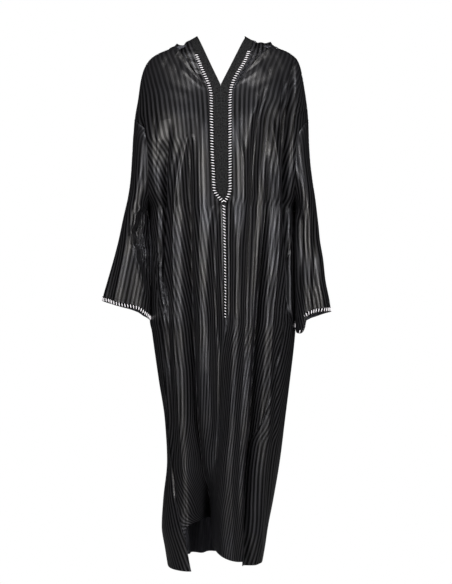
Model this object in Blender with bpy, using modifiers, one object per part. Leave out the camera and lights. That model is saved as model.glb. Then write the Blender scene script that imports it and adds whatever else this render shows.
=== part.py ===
"""A djellaba robe, worn but with no wearer: front, back, two sleeves and a hood
that hangs down the back, with bands and braids at the neck and cuffs.

Metres, +Z up. The origin is at the neck, level with the top of the shoulder line.
+X is the wearer's left and the front faces -Y.
"""

import bmesh
import bpy
import numpy as np

WALL = 0.0012
SEAM_GAP = 0.0008
ARMHOLE_GAP = 0.0013
UNDERARM_GAP = 0.0030
SLIT_GAP = 0.0040
NECK_GAP = 0.0013
BRAID_WIDTH = 0.011
BRAID_WALL = 0.0016
BRAID_LIFT = 0.0006
CENTRE_BRAID_END = -0.757
FRONT_COLUMNS = 11
BACK_COLUMNS = 20
SLEEVE_COLUMNS = 8
SLEEVE_ROWS = [-0.510, -0.575, -0.640]
CUFF_ROWS = 3
HOOD_COLUMNS = 8
CLOTH = (0.022, 0.022, 0.026)
GROSGRAIN = (0.010, 0.010, 0.012)
SILVER = (0.52, 0.52, 0.55)

# ---------------------------------------------------------------- small tools
def columns(names, rows):
    """A table with named columns, as a dict of arrays."""
    data = np.array(rows, float)
    return {name: data[:, i] for i, name in enumerate(names.split())}


def smooth(x, xs, ys):
    """A monotone cubic curve through (xs, ys), read at x."""
    xs, ys = np.asarray(xs, float), np.asarray(ys, float)
    if xs[0] > xs[-1]:
        xs, ys = xs[::-1], ys[::-1]
    step = np.diff(xs)
    rise = np.diff(ys) / step
    slope = np.zeros_like(ys)
    slope[0], slope[-1] = rise[0], rise[-1]
    if len(xs) > 2:
        w1, w2 = 2 * step[1:] + step[:-1], step[1:] + 2 * step[:-1]
        a = np.where(rise[:-1] == 0, 1e-12, rise[:-1])
        b = np.where(rise[1:] == 0, 1e-12, rise[1:])
        slope[1:-1] = np.where(a * b > 0, (w1 + w2) / (w1 / a + w2 / b + 1e-30), 0)
    x = np.clip(x, xs[0], xs[-1])
    i = np.clip(np.searchsorted(xs, x) - 1, 0, len(step) - 1)
    t = (x - xs[i]) / step[i]
    return (
        (1 + 2 * t) * (1 - t) ** 2 * ys[i]
        + t * (1 - t) ** 2 * step[i] * slope[i]
        + t * t * (3 - 2 * t) * ys[i + 1]
        + t * t * (t - 1) * step[i] * slope[i + 1]
    )


def read(table, column, at, key="z"):
    return smooth(at, table[key], table[column])


def unit(v):
    return v / np.maximum(np.linalg.norm(v, axis=-1, keepdims=True), 1e-12)


def ease(t):
    t = np.clip(t, 0, 1)
    return t * t * (3 - 2 * t)


# ---------------------------------------------------------------- the robe's sizes, in metres
NECK_Z = 0.0  # where the shoulder line meets the neck, the height of the origin
UNDERARM_Z = -0.458
SHOULDER_END_Z = -0.204  # the dropped end of the shoulder line, on the upper arm
PLACKET_TIP = (0.0078, -0.4436)
V_FOOT = (-0.0007, -0.1195)
HEM_Z = -1.425
SLIT_TOP_Z = -1.252

# The outline of the body, a row for each height: its two sides, its depth in front
# and behind, and how square its section is. Above the underarm the sides are
# the outer arm, because the cut drops over the shoulder.
BODY = columns(
    "z left right front back power",
    [
        (0.033, -0.064, 0.067, 0.016, 0.020, 2.0),
        (0.020, -0.086, 0.092, 0.032, 0.036, 2.0),
        (0.012, -0.099, 0.112, 0.043, 0.047, 2.0),
        (0.006, -0.116, 0.136, 0.050, 0.055, 2.0),
        (0.000, -0.130, 0.148, 0.056, 0.062, 2.1),
        (-0.008, -0.148, 0.170, 0.062, 0.069, 2.15),
        (-0.014, -0.163, 0.185, 0.066, 0.073, 2.2),
        (-0.022, -0.180, 0.198, 0.071, 0.078, 2.2),
        (-0.036, -0.199, 0.213, 0.080, 0.088, 2.2),
        (-0.064, -0.216, 0.224, 0.094, 0.100, 2.2),
        (-0.092, -0.224, 0.229, 0.106, 0.110, 2.2),
        (-0.148, -0.232, 0.238, 0.124, 0.122, 2.3),
        (-0.204, -0.241, 0.244, 0.136, 0.130, 2.3),
        (-0.290, -0.246, 0.246, 0.144, 0.132, 2.4),
        (-0.350, -0.243, 0.242, 0.147, 0.131, 2.4),
        (-0.410, -0.224, 0.222, 0.148, 0.129, 2.4),
        (-0.458, -0.2000, 0.2040, 0.149, 0.127, 2.4),
        (-0.484, -0.2004, 0.2062, 0.149, 0.127, 2.4),
        (-0.520, -0.2000, 0.2072, 0.150, 0.126, 2.4),
        (-0.560, -0.1992, 0.2080, 0.150, 0.125, 2.4),
        (-0.620, -0.1985, 0.2086, 0.150, 0.124, 2.4),
        (-0.720, -0.1995, 0.2094, 0.150, 0.122, 2.4),
        (-0.768, -0.1990, 0.2092, 0.150, 0.122, 2.4),
        (-0.795, -0.1935, 0.208, 0.150, 0.122, 2.4),
        (-0.820, -0.190, 0.206, 0.150, 0.121, 2.4),
        (-0.932, -0.174, 0.193, 0.150, 0.119, 2.4),
        (-1.044, -0.157, 0.179, 0.148, 0.116, 2.4),
        (-1.156, -0.151, 0.165, 0.146, 0.113, 2.3),
        (-1.268, -0.162, 0.146, 0.143, 0.109, 2.2),
        (-1.340, -0.166, 0.132, 0.141, 0.106, 2.2),
        (-1.400, -0.157, 0.123, 0.140, 0.103, 2.2),
        (-1.450, -0.149, 0.114, 0.139, 0.101, 2.2),
    ],
)

# Where the armhole seam runs, seen from the front. It starts on the outline.
ARMHOLE = columns(
    "z left right",
    [
        (-0.204, -0.2410, 0.2440),
        (-0.222, -0.2270, 0.2310),
        (-0.245, -0.2120, 0.2170),
        (-0.290, -0.2030, 0.2080),
        (-0.360, -0.2000, 0.2055),
        (-0.420, -0.2000, 0.2045),
        (-0.458, -0.2000, 0.2040),
    ],
)

# The side seams swing to the front on the way down, and the slits open in them.
SIDE_SEAM = columns(
    "z left right",
    [
        (-0.458, -0.2000, 0.2040),
        (-0.522, -0.1940, 0.1975),
        (-0.614, -0.1820, 0.1880),
        (-0.690, -0.1740, 0.1820),
        (-0.740, -0.1710, 0.1760),
        (-0.820, -0.1600, 0.1660),
        (-0.950, -0.1530, 0.1370),
        (-1.050, -0.1470, 0.1090),
        (-1.120, -0.1400, 0.0890),
        (-1.252, -0.1260, 0.0830),
        (-1.316, -0.1110, 0.0790),
        (-1.375, -0.0950, 0.0760),
        (-1.450, -0.0850, 0.0740),
    ],
)

# The centre front, from the foot of the V down.
CENTRE = columns(
    "z x",
    [
        (-0.1195, -0.0007),
        (-0.4436, 0.0078),
        (-0.756, 0.0113),
        (-0.870, 0.0010),
        (-0.978, -0.0050),
        (-1.060, -0.0100),
        (-1.167, -0.0180),
        (-1.300, -0.0230),
        (-1.450, -0.0210),
    ],
)

# The line under the neck braid, where the fronts meet the placket bands.
PLACKET = columns(
    "z left right",
    [
        (0.0200, -0.0850, 0.0900),
        (0.0040, -0.0820, 0.0870),
        (-0.0240, -0.0715, 0.0770),
        (-0.0515, -0.0610, 0.0665),
        (-0.0850, -0.0480, 0.0470),
        (-0.1100, -0.0370, 0.0345),
        (-0.1390, -0.0278, 0.0264),
        (-0.1480, -0.0266, 0.0257),
        (-0.1950, -0.0256, 0.0249),
        (-0.3070, -0.0233, 0.0251),
        (-0.3620, -0.0203, 0.0251),
        (-0.4100, -0.0178, 0.0246),
        (-0.4230, -0.0110, 0.0205),
        (-0.4436, 0.0078, 0.0078),
    ],
)

# The free edge of the V, which the bands finish.
V_EDGE = columns(
    "z left right",
    [
        (0.0310, -0.0665, 0.0700),
        (-0.0500, -0.0322, 0.0330),
        (-0.1195, -0.0007, -0.0007),
    ],
)

# The seam between the hood and the fronts, down from the shoulder line.
NECK_SEAM = columns(
    "z left right",
    [
        (-0.0030, -0.1260, 0.1400),
        (-0.0220, -0.1110, 0.1170),
        (-0.0450, -0.0975, 0.0985),
        (-0.0700, -0.0830, 0.0795),
        (-0.0950, -0.0665, 0.0610),
        (-0.1180, -0.0510, 0.0460),
        (-0.1300, -0.0430, 0.0385),
        (-0.1390, -0.0300, 0.0285),
    ],
)

# The large folds, a row for each height on each fold: where it lies, how far it
# goes in (out, if negative) and half its width.
FRONT_FOLDS = {
    "left_armhole": [
        (-0.190, -0.226, 0.000, 0.014),
        (-0.235, -0.216, 0.014, 0.015),
        (-0.300, -0.206, 0.022, 0.017),
        (-0.400, -0.203, 0.018, 0.018),
        (-0.470, -0.203, 0.000, 0.018),
    ],
    "right_armhole": [
        (-0.170, 0.210, 0.000, 0.014),
        (-0.225, 0.202, 0.014, 0.016),
        (-0.300, 0.190, 0.024, 0.017),
        (-0.400, 0.188, 0.020, 0.018),
        (-0.470, 0.188, 0.000, 0.018),
    ],
    "left_bust": [
        (-0.130, -0.150, 0.000, 0.020),
        (-0.190, -0.150, 0.008, 0.018),
        (-0.300, -0.163, 0.014, 0.015),
        (-0.420, -0.160, 0.024, 0.014),
        (-0.520, -0.160, 0.026, 0.014),
        (-0.620, -0.160, 0.017, 0.015),
        (-0.740, -0.156, 0.000, 0.017),
    ],
    "left_inner": [
        (-0.250, -0.090, 0.000, 0.014),
        (-0.330, -0.088, 0.009, 0.014),
        (-0.440, -0.088, 0.017, 0.015),
        (-0.570, -0.085, 0.026, 0.016),
        (-0.710, -0.083, 0.035, 0.017),
        (-0.870, -0.080, 0.044, 0.019),
        (-0.980, -0.077, 0.050, 0.020),
        (-1.110, -0.070, 0.062, 0.022),
        (-1.250, -0.063, 0.084, 0.025),
        (-1.360, -0.053, 0.108, 0.027),
        (-1.450, -0.049, 0.114, 0.028),
    ],
    "left_centre": [
        (-0.450, -0.016, 0.000, 0.011),
        (-0.520, -0.018, 0.009, 0.012),
        (-0.620, -0.018, 0.016, 0.013),
        (-0.740, -0.011, 0.021, 0.015),
        (-0.850, -0.004, 0.030, 0.017),
        (-0.980, -0.005, 0.034, 0.017),
        (-1.070, -0.011, 0.032, 0.018),
        (-1.180, -0.019, 0.026, 0.018),
        (-1.330, -0.024, 0.016, 0.016),
        (-1.450, -0.024, 0.012, 0.016),
    ],
    "right_bust": [
        (-0.150, 0.112, 0.000, 0.016),
        (-0.220, 0.106, 0.010, 0.015),
        (-0.300, 0.090, 0.014, 0.015),
        (-0.420, 0.079, 0.013, 0.015),
        (-0.560, 0.070, 0.009, 0.014),
        (-0.740, 0.068, 0.004, 0.014),
        (-0.900, 0.066, 0.000, 0.014),
    ],
    "right_outer": [
        (-0.480, 0.130, 0.000, 0.014),
        (-0.560, 0.128, 0.012, 0.014),
        (-0.640, 0.120, 0.024, 0.015),
        (-0.740, 0.110, 0.032, 0.017),
        (-0.870, 0.102, 0.040, 0.019),
        (-1.000, 0.096, 0.046, 0.021),
        (-1.110, 0.088, 0.050, 0.022),
        (-1.250, 0.084, 0.046, 0.021),
        (-1.340, 0.079, 0.036, 0.019),
        (-1.450, 0.076, 0.028, 0.018),
    ],
    "right_side": [
        (-0.480, 0.176, 0.006, 0.015),
        (-0.620, 0.182, 0.014, 0.016),
        (-0.760, 0.186, 0.012, 0.016),
        (-0.840, 0.186, 0.000, 0.016),
    ],
    "main_ridge": [
        (-0.420, 0.050, 0.000, 0.022),
        (-0.620, 0.048, -0.005, 0.022),
        (-0.870, 0.040, -0.008, 0.024),
        (-1.110, 0.030, -0.012, 0.027),
        (-1.300, 0.022, -0.014, 0.030),
        (-1.450, 0.018, -0.014, 0.032),
    ],
    "left_ridge": [
        (-0.300, -0.120, 0.000, 0.020),
        (-0.440, -0.122, -0.005, 0.016),
        (-0.700, -0.124, -0.007, 0.017),
        (-1.000, -0.115, -0.007, 0.018),
        (-1.250, -0.098, -0.008, 0.018),
        (-1.450, -0.090, -0.006, 0.018),
    ],
    "mid_ridge": [
        (-0.350, -0.052, 0.000, 0.014),
        (-0.500, -0.052, -0.004, 0.015),
        (-0.800, -0.047, -0.006, 0.015),
        (-1.000, -0.046, -0.003, 0.014),
        (-1.100, -0.045, 0.000, 0.014),
    ],
    "right_ridge": [
        (-0.200, 0.140, 0.000, 0.018),
        (-0.350, 0.146, -0.005, 0.017),
        (-0.700, 0.147, -0.007, 0.018),
        (-0.870, 0.132, -0.005, 0.016),
        (-1.000, 0.125, 0.000, 0.016),
    ],
}
BACK_FOLDS = {
    "left_armhole": [
        (-0.200, -0.226, 0.000, 0.014),
        (-0.240, -0.216, 0.010, 0.015),
        (-0.300, -0.206, 0.018, 0.017),
        (-0.400, -0.203, 0.015, 0.018),
        (-0.470, -0.203, 0.000, 0.018),
    ],
    "right_armhole": [
        (-0.200, 0.226, 0.000, 0.014),
        (-0.240, 0.214, 0.010, 0.015),
        (-0.300, 0.204, 0.018, 0.017),
        (-0.400, 0.199, 0.015, 0.018),
        (-0.470, 0.199, 0.000, 0.018),
    ],
    "far_left": [
        (-0.320, -0.155, 0.000, 0.016),
        (-0.520, -0.150, 0.014, 0.016),
        (-0.800, -0.140, 0.022, 0.019),
        (-1.100, -0.118, 0.032, 0.021),
        (-1.450, -0.112, 0.040, 0.022),
    ],
    "mid_left": [
        (-0.420, -0.085, 0.000, 0.016),
        (-0.600, -0.082, 0.012, 0.017),
        (-0.900, -0.072, 0.026, 0.020),
        (-1.200, -0.066, 0.040, 0.022),
        (-1.450, -0.064, 0.050, 0.023),
    ],
    "centre": [
        (-0.500, -0.010, 0.000, 0.018),
        (-0.700, -0.006, 0.010, 0.018),
        (-1.000, 0.000, 0.022, 0.020),
        (-1.250, -0.004, 0.026, 0.021),
        (-1.450, -0.008, 0.028, 0.022),
    ],
    "mid_right": [
        (-0.360, 0.075, 0.000, 0.016),
        (-0.560, 0.073, 0.015, 0.017),
        (-0.850, 0.064, 0.028, 0.019),
        (-1.150, 0.050, 0.038, 0.021),
        (-1.450, 0.042, 0.046, 0.022),
    ],
    "far_right": [
        (-0.300, 0.150, 0.000, 0.016),
        (-0.500, 0.147, 0.016, 0.016),
        (-0.800, 0.135, 0.024, 0.018),
        (-1.100, 0.105, 0.026, 0.019),
        (-1.450, 0.080, 0.030, 0.020),
    ],
}
FOLD_COLUMNS = "z x depth width"


# ---------------------------------------------------------------- the body's surface
def body_at(z):
    left, right = read(BODY, "left", z), read(BODY, "right", z)
    return (left + right) / 2, (right - left) / 2, read(BODY, "power", z)


def turn_of(x, z):
    """The angle round the section, 0 at the middle and a quarter turn at each side."""
    middle, half, power = body_at(z)
    share = np.clip((x - middle) / half, -1, 1)
    return np.sign(share) * np.arcsin(np.abs(share) ** (power / 2))


def body_point(turn, z, side):
    """A point of the cloth: side is -1 in front and 1 behind."""
    turn, z = np.broadcast_arrays(np.asarray(turn, float), np.asarray(z, float))
    middle, half, power = body_at(z)
    deep = read(BODY, "front" if side < 0 else "back", z)
    s, c = np.sin(turn), np.clip(np.cos(turn), 0, 1)
    across, along = np.sign(s) * np.abs(s) ** (2 / power), c ** (2 / power)
    x, y = middle + half * across, side * deep * along
    inward = unit(
        np.stack(
            [
                -np.sign(s) * np.abs(across) ** (power - 1) / half,
                -side * along ** (power - 1) / deep,
            ],
            -1,
        )
        + 1e-9
    )
    push = np.zeros_like(x)
    folds = FRONT_FOLDS if side < 0 else BACK_FOLDS
    for rows in folds.values():
        fold = columns(FOLD_COLUMNS, rows)
        at = turn_of(read(fold, "x", z), z)
        radius = np.sqrt((half * np.cos(at)) ** 2 + (deep * np.sin(at)) ** 2)
        away = (turn - at) * radius / read(fold, "width", z)
        push += read(fold, "depth", z) * np.exp(-(away**2))
    push = push * (1 - np.exp(-(((np.pi / 2 - np.abs(turn)) / 0.22) ** 2)))
    return np.stack([x + inward[..., 0] * push, y + inward[..., 1] * push, z], -1)


def outer_normal(grid, way):
    """Normals of a grid of points (rows, columns, 3), pointing out when way is 1."""
    across, down = np.gradient(grid, axis=1), np.gradient(grid, axis=0)
    return unit(np.cross(across, down)) * way

# ---------------------------------------------------------------- rows of points that the pieces share
NECK_ROWS = [-0.003, -0.022, -0.045, -0.070, -0.095, -0.118, -0.136]
YOKE_ROWS = [-0.170, SHOULDER_END_Z]
ARMHOLE_ROWS = [-0.218, -0.243, -0.278, -0.318, -0.360, -0.400, -0.424, PLACKET_TIP[1], UNDERARM_Z]
SKIRT_ROWS = [-0.505, -0.560, -0.625, -0.700, -0.785, -0.875, -0.970, -1.075, -1.185]
HEM_ROWS = 4
ROWS = NECK_ROWS + YOKE_ROWS + ARMHOLE_ROWS
NECK_SEAM_END = -0.139
NECK_OFFSET = 0.020

# The cut edge at the front hem, and at the back hem by the angle round the section.
FRONT_HEM = columns(
    "x z",
    [
        (-0.100, -1.376),
        (-0.090, -1.366),
        (-0.074, -1.342),
        (-0.058, -1.318),
        (-0.046, -1.311),
        (-0.036, -1.318),
        (-0.028, -1.345),
        (-0.021, -1.389),
        (-0.008, -1.401),
        (0.020, -1.414),
        (0.050, -1.421),
        (0.085, -1.424),
    ],
)
BACK_HEM = columns(
    "angle z",
    [
        (-150, -1.449),
        (-115, -1.449),
        (-80, -1.441),
        (-45, -1.427),
        (0, -1.4235),
        (45, -1.427),
        (85, -1.434),
        (150, -1.439),
    ],
)
# The neck seam over the back, from the centre to the shoulder line.
BACK_NECK = columns(
    "angle z",
    [(0, -0.112), (6, -0.090), (14, -0.055), (25, -0.033), (45, -0.016), (65, -0.008), (90, -0.003)],
)


def front_at(x, z):
    return body_point(turn_of(x, z), z, -1)


def front_lifted(x, z, lift):
    """A point held off the front by a small height."""
    x, z = np.broadcast_arrays(np.asarray(x, float), np.asarray(z, float))
    step = 0.002
    across = front_at(x + step, z) - front_at(x - step, z)
    down = front_at(x, z - step) - front_at(x, z + step)
    normal = unit(np.cross(down, across))
    normal = normal * -np.sign(normal[..., 1:2] + 1e-12)
    return front_at(x, z) + normal * np.asarray(lift)[..., None]


def outer_edge(side, z):
    """The angle of the front's outer edge: shoulder line, armhole, then side seam."""
    name = "left" if side < 0 else "right"
    armhole = turn_of(read(ARMHOLE, name, z), z)
    seam = turn_of(read(SIDE_SEAM, name, z), z)
    edge = np.where(z > UNDERARM_Z, armhole, seam)
    return np.where(z >= SHOULDER_END_Z, side * np.pi / 2, edge)


def inner_edge(side, z):
    """The front's inner edge: neck seam, placket, then the centre line."""
    name = "left" if side < 0 else "right"
    x = np.where(z > PLACKET_TIP[1], read(PLACKET, name, z), read(CENTRE, "x", z))
    return np.where(z > NECK_SEAM_END, read(NECK_SEAM, name, z), x)


def front_half(side, rows, skirt, hem_rows, share):
    """One half of the front as a grid, share running from the outer edge to the inner."""
    share = np.asarray(share, float)
    levels = np.array(list(rows) + list(skirt))
    z = np.repeat(levels[:, None], len(share), 1)
    last = levels[-1]
    name = "left" if side < 0 else "right"
    foot = read(SIDE_SEAM, name, -1.40) * (1 - share) + read(CENTRE, "x", -1.40) * share
    drop = read(FRONT_HEM, "z", foot, "x") - last
    steps = np.arange(1, hem_rows + 1)[:, None] / hem_rows
    z = np.vstack([z, last + steps * drop])
    outer = outer_edge(side, z)
    inner = turn_of(inner_edge(side, z), z)
    return body_point(outer + (inner - outer) * share, z, -1)


def ring_point(angle, z):
    """A point at an angle round the whole section: 0 at the centre back."""
    behind = body_point(np.clip(angle, -np.pi / 2, np.pi / 2), z, 1)
    wrapped = np.sign(angle) * (np.pi - np.abs(angle))
    ahead = body_point(np.clip(wrapped, -np.pi / 2, np.pi / 2), z, -1)
    return np.where((np.abs(angle) <= np.pi / 2)[..., None], behind, ahead)


def back_edge(side, z):
    """The angle of the back's edge, which goes on round the side to the seam."""
    name = "left" if side < 0 else "right"
    armhole = turn_of(read(ARMHOLE, name, z), z)
    seam = side * np.pi - turn_of(read(SIDE_SEAM, name, z), z)
    edge = np.where(z > UNDERARM_Z, armhole, seam)
    return np.where(z >= SHOULDER_END_Z, side * np.pi / 2, edge)


def neck_drop(angle):
    return read(BACK_NECK, "z", np.abs(np.degrees(angle)), "angle")


def back_panel(rows, skirt, hem_rows, share):
    """The back as a grid, share running from -1 at the left seam to 1 at the right."""
    share = np.asarray(share, float)
    levels = np.array(list(rows) + list(skirt))
    top = neck_drop(share * np.pi / 2)
    z = np.repeat(levels[:, None], len(share), 1)
    yoke = levels >= SHOULDER_END_Z
    fall = (levels[yoke] - levels[0]) / (SHOULDER_END_Z - levels[0])
    z[yoke] = top + fall[:, None] * (SHOULDER_END_Z - top)
    last = levels[-1]
    way = np.where(share < 0, -1, 1)
    foot = np.abs(share) * np.where(share < 0, -back_edge(-1, -1.4), back_edge(1, -1.4)) * way
    drop = read(BACK_HEM, "z", np.degrees(foot), "angle") - last
    steps = np.arange(1, hem_rows + 1)[:, None] / hem_rows
    z = np.vstack([z, last + steps * drop])
    edge = np.where(share < 0, -back_edge(-1, z), back_edge(1, z))
    return ring_point(share * edge, z)


def trim(grid, first, last):
    """Shorten every row of a grid at its two ends, keeping its points' shares."""
    made = grid.copy()
    first, last = np.broadcast_to(first, len(grid)), np.broadcast_to(last, len(grid))
    for i, row in enumerate(grid):
        along = np.concatenate([[0], np.cumsum(np.linalg.norm(np.diff(row, axis=0), axis=1))])
        new = first[i] + along / along[-1] * (along[-1] - first[i] - last[i])
        made[i] = np.stack([np.interp(new, along, row[:, k]) for k in range(3)], -1)
    return made


# ---------------------------------------------------------------- sleeves
# A row for each height of the tube: its outer and inner sides as distances
# from the centre plane, and its depth in front and behind.
SLEEVE = {
    -1: columns(
        "z outer inner front back shift",
        [
            (-0.204, 0.2415, 0.2300, 0.020, 0.020, 0.000),
            (-0.260, 0.2460, 0.2300, 0.060, 0.060, 0.000),
            (-0.316, 0.2490, 0.2300, 0.080, 0.074, 0.000),
            (-0.372, 0.2525, 0.2200, 0.088, 0.080, 0.000),
            (-0.428, 0.2600, 0.2080, 0.083, 0.076, 0.000),
            (-0.460, 0.2670, 0.2034, 0.077, 0.068, -0.006),
            (-0.484, 0.2720, 0.2004, 0.071, 0.056, -0.034),
            (-0.510, 0.2770, 0.1988, 0.067, 0.050, -0.046),
            (-0.540, 0.2830, 0.1972, 0.063, 0.047, -0.050),
            (-0.596, 0.2970, 0.1954, 0.059, 0.046, -0.051),
            (-0.652, 0.3130, 0.1952, 0.056, 0.046, -0.051),
            (-0.708, 0.3280, 0.1968, 0.054, 0.046, -0.051),
            (-0.770, 0.3360, 0.1978, 0.052, 0.046, -0.051),
        ],
    ),
    1: columns(
        "z outer inner front back shift",
        [
            (-0.204, 0.2445, 0.2300, 0.020, 0.020, 0.000),
            (-0.260, 0.2460, 0.2300, 0.060, 0.060, 0.000),
            (-0.316, 0.2490, 0.2300, 0.080, 0.074, 0.000),
            (-0.372, 0.2550, 0.2200, 0.090, 0.080, 0.000),
            (-0.428, 0.2630, 0.2080, 0.086, 0.076, 0.000),
            (-0.460, 0.2665, 0.2080, 0.079, 0.068, -0.006),
            (-0.484, 0.2690, 0.2066, 0.074, 0.056, -0.034),
            (-0.510, 0.2715, 0.2058, 0.070, 0.050, -0.046),
            (-0.540, 0.2740, 0.2052, 0.068, 0.047, -0.050),
            (-0.596, 0.2830, 0.2053, 0.066, 0.046, -0.051),
            (-0.652, 0.2890, 0.2056, 0.066, 0.045, -0.051),
            (-0.708, 0.3000, 0.2070, 0.068, 0.045, -0.051),
            (-0.800, 0.3130, 0.2086, 0.070, 0.045, -0.051),
        ],
    ),
}
# The cuff's height by the angle round the sleeve: 0 outside, 90 in front.
CUFF = {
    -1: columns(
        "angle z",
        [
            (0, -0.709),
            (45, -0.716),
            (85, -0.727),
            (118, -0.735),
            (140, -0.749),
            (180, -0.764),
            (225, -0.754),
            (243, -0.743),
            (270, -0.732),
            (315, -0.718),
            (360, -0.709),
        ],
    ),
    1: columns(
        "angle z",
        [
            (0, -0.740),
            (50, -0.740),
            (85, -0.743),
            (108, -0.749),
            (116, -0.756),
            (128, -0.786),
            (142, -0.800),
            (160, -0.799),
            (185, -0.788),
            (225, -0.773),
            (243, -0.768),
            (270, -0.757),
            (315, -0.745),
            (360, -0.740),
        ],
    ),
}
# Folds of the sleeves: the angle where each lies, and its depth and half width.
SLEEVE_FOLDS = {
    -1: {
        "underarm": [
            (-0.425, 130, 0.000, 0.013),
            (-0.460, 124, 0.012, 0.013),
            (-0.490, 117, 0.026, 0.014),
            (-0.530, 112, 0.036, 0.016),
            (-0.570, 117, 0.034, 0.016),
            (-0.613, 132, 0.026, 0.014),
            (-0.665, 142, 0.009, 0.012),
            (-0.705, 148, 0.000, 0.012),
        ],
        "outer": [
            (-0.520, 40, 0.000, 0.014),
            (-0.620, 42, 0.006, 0.014),
            (-0.760, 46, 0.008, 0.016),
        ],
    },
    1: {
        "underarm": [
            (-0.430, 132, 0.000, 0.012),
            (-0.480, 130, 0.012, 0.012),
            (-0.560, 134, 0.014, 0.013),
            (-0.660, 140, 0.008, 0.013),
            (-0.760, 140, 0.000, 0.013),
        ],
        "outer": [
            (-0.400, 58, 0.000, 0.014),
            (-0.520, 60, 0.007, 0.014),
            (-0.620, 72, 0.009, 0.013),
            (-0.700, 86, 0.012, 0.013),
            (-0.800, 92, 0.015, 0.015),
        ],
    },
}
SLEEVE_POWER = 2.2


def sleeve_section(side, z, face):
    """The half section from the outer side to the seam: its centre, half width,
    depth and how far round it goes."""
    name = "left" if side < 0 else "right"
    table = SLEEVE[side]
    outer = read(table, "outer", z)
    depth = read(table, "front" if face < 0 else "back", z)
    seam_x = np.abs(read(ARMHOLE, name, z))
    seam = body_point(turn_of(side * seam_x, z), z, face)
    seam_y = np.abs(seam[..., 1])
    above = z > UNDERARM_Z
    depth = np.where(above, np.maximum(depth, seam_y * 1.001), depth)
    past = np.clip(1 - (seam_y / depth) ** SLEEVE_POWER, 0, 1) ** (1 / SLEEVE_POWER)
    half = np.where(above, (outer - np.abs(seam[..., 0])) / (1 + past), (outer - read(table, "inner", z)) / 2)
    reach = np.where(above, np.pi / 2 + np.arcsin(past ** (SLEEVE_POWER / 2)), np.pi)
    return outer - half, half, depth, reach, read(table, "shift", z)


def sleeve_half(side, face, levels, cuff_rows, share):
    """Half of a sleeve as a grid, share running from the outer side to the seam
    and, under the arm, to the inner side."""
    share = np.asarray(share, float)
    levels = np.asarray(levels, float)
    z = np.repeat(levels[:, None], len(share), 1)
    last = levels[-1]
    degrees = 180 * share if face < 0 else 360 - 180 * share
    drop = read(CUFF[side], "z", degrees, "angle") - last
    steps = np.arange(1, cuff_rows + 1)[:, None] / cuff_rows
    z = np.vstack([z, last + steps * drop])
    return sleeve_point(side, face, share, z)


def sleeve_point(side, face, share, z):
    share, z = np.broadcast_arrays(np.asarray(share, float), np.asarray(z, float))
    centre, half, depth, reach, shift = sleeve_section(side, z, face)
    angle = share * reach
    c, s = np.cos(angle), np.sin(angle)
    across = np.sign(c) * np.abs(c) ** (2 / SLEEVE_POWER)
    along = np.abs(s) ** (2 / SLEEVE_POWER)
    x, y = centre + half * across, shift + face * depth * along
    inward = unit(np.stack([-c / half, -face * np.abs(s) / depth], -1))
    push = np.zeros_like(x)
    for rows in SLEEVE_FOLDS[side].values():
        fold = columns("z angle depth width", rows)
        at = np.radians(read(fold, "angle", z))
        radius = np.sqrt((half * np.sin(at)) ** 2 + (depth * np.cos(at)) ** 2)
        away = (angle * (-face) - at) * radius / read(fold, "width", z)
        push += read(fold, "depth", z) * np.exp(-(away**2))
    return np.stack([side * (x + inward[..., 0] * push), y + inward[..., 1] * push, z], -1)


# ---------------------------------------------------------------- hood
# The hood hangs down the back. A row for each rib, by its angle round the neck
# from the centre back: where it rolls over, its lowest point, the seam of its
# band and the free edge, and how full the pouch is there.
HOOD = columns(
    "angle roll_x roll_y roll_z low_x low_y low_z rim_x rim_y rim_z edge_x edge_y edge_z full",
    [
        (0, 0.000, 0.124, -0.102, 0.000, 0.175, -0.385, 0.000, 0.192, -0.150, 0.000, 0.187, -0.126, 1.00),
        (15, 0.062, 0.107, -0.058, 0.085, 0.160, -0.285, 0.053, 0.168, -0.100, 0.040, 0.158, -0.078, 0.95),
        (30, 0.104, 0.087, -0.032, 0.138, 0.126, -0.150, 0.084, 0.129, -0.042, 0.063, 0.116, -0.024, 0.72),
        (40, 0.119, 0.070, -0.021, 0.156, 0.100, -0.092, 0.093, 0.105, -0.016, 0.070, 0.094, -0.001, 0.55),
        (50, 0.129, 0.054, -0.012, 0.167, 0.073, -0.054, 0.100, 0.082, 0.002, 0.077, 0.072, 0.015, 0.38),
        (60, 0.132, 0.038, -0.006, 0.162, 0.048, -0.021, 0.097, 0.056, 0.012, 0.075, 0.050, 0.024, 0.24),
        (70, 0.131, 0.023, -0.001, 0.149, 0.028, -0.005, 0.094, 0.036, 0.018, 0.073, 0.031, 0.029, 0.12),
        (80, 0.129, 0.012, 0.002, 0.134, 0.014, 0.002, 0.091, 0.018, 0.020, 0.070, 0.016, 0.031, 0.05),
        (90, 0.128, 0.002, 0.003, 0.118, 0.001, 0.007, 0.0855, 0.0005, 0.020, 0.0665, 0.0005, 0.031, 0.00),
    ],
)


def hood_part(name, angle):
    side = np.sign(angle) + (angle == 0)
    at = np.abs(np.degrees(angle))
    x, y, z = (read(HOOD, name + "_" + axis, at, "angle") for axis in "xyz")
    if name in ("roll", "low"):
        # The left shoulder line starts further out than the right one.
        x = x + (side > 0) * NECK_OFFSET * ease(at / 55)
    return np.stack([side * x, y, z], -1)


def through(points, knots, share):
    """A smooth line through a list of points, each reached at its own knot."""
    points, knots = np.array(points), np.array(knots, float)
    tangent = np.gradient(points, axis=0) / np.gradient(knots)[:, None]
    share = np.clip(np.asarray(share, float), 0, 1)
    i = np.clip(np.searchsorted(knots, share) - 1, 0, len(knots) - 2)
    step = (knots[i + 1] - knots[i])[:, None]
    t = (share[:, None] - knots[i][:, None]) / step
    return (
        (1 + 2 * t) * (1 - t) ** 2 * points[i]
        + t * (1 - t) ** 2 * step * tangent[i]
        + t * t * (3 - 2 * t) * points[i + 1]
        + t * t * (t - 1) * step * tangent[i + 1]
    )


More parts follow.
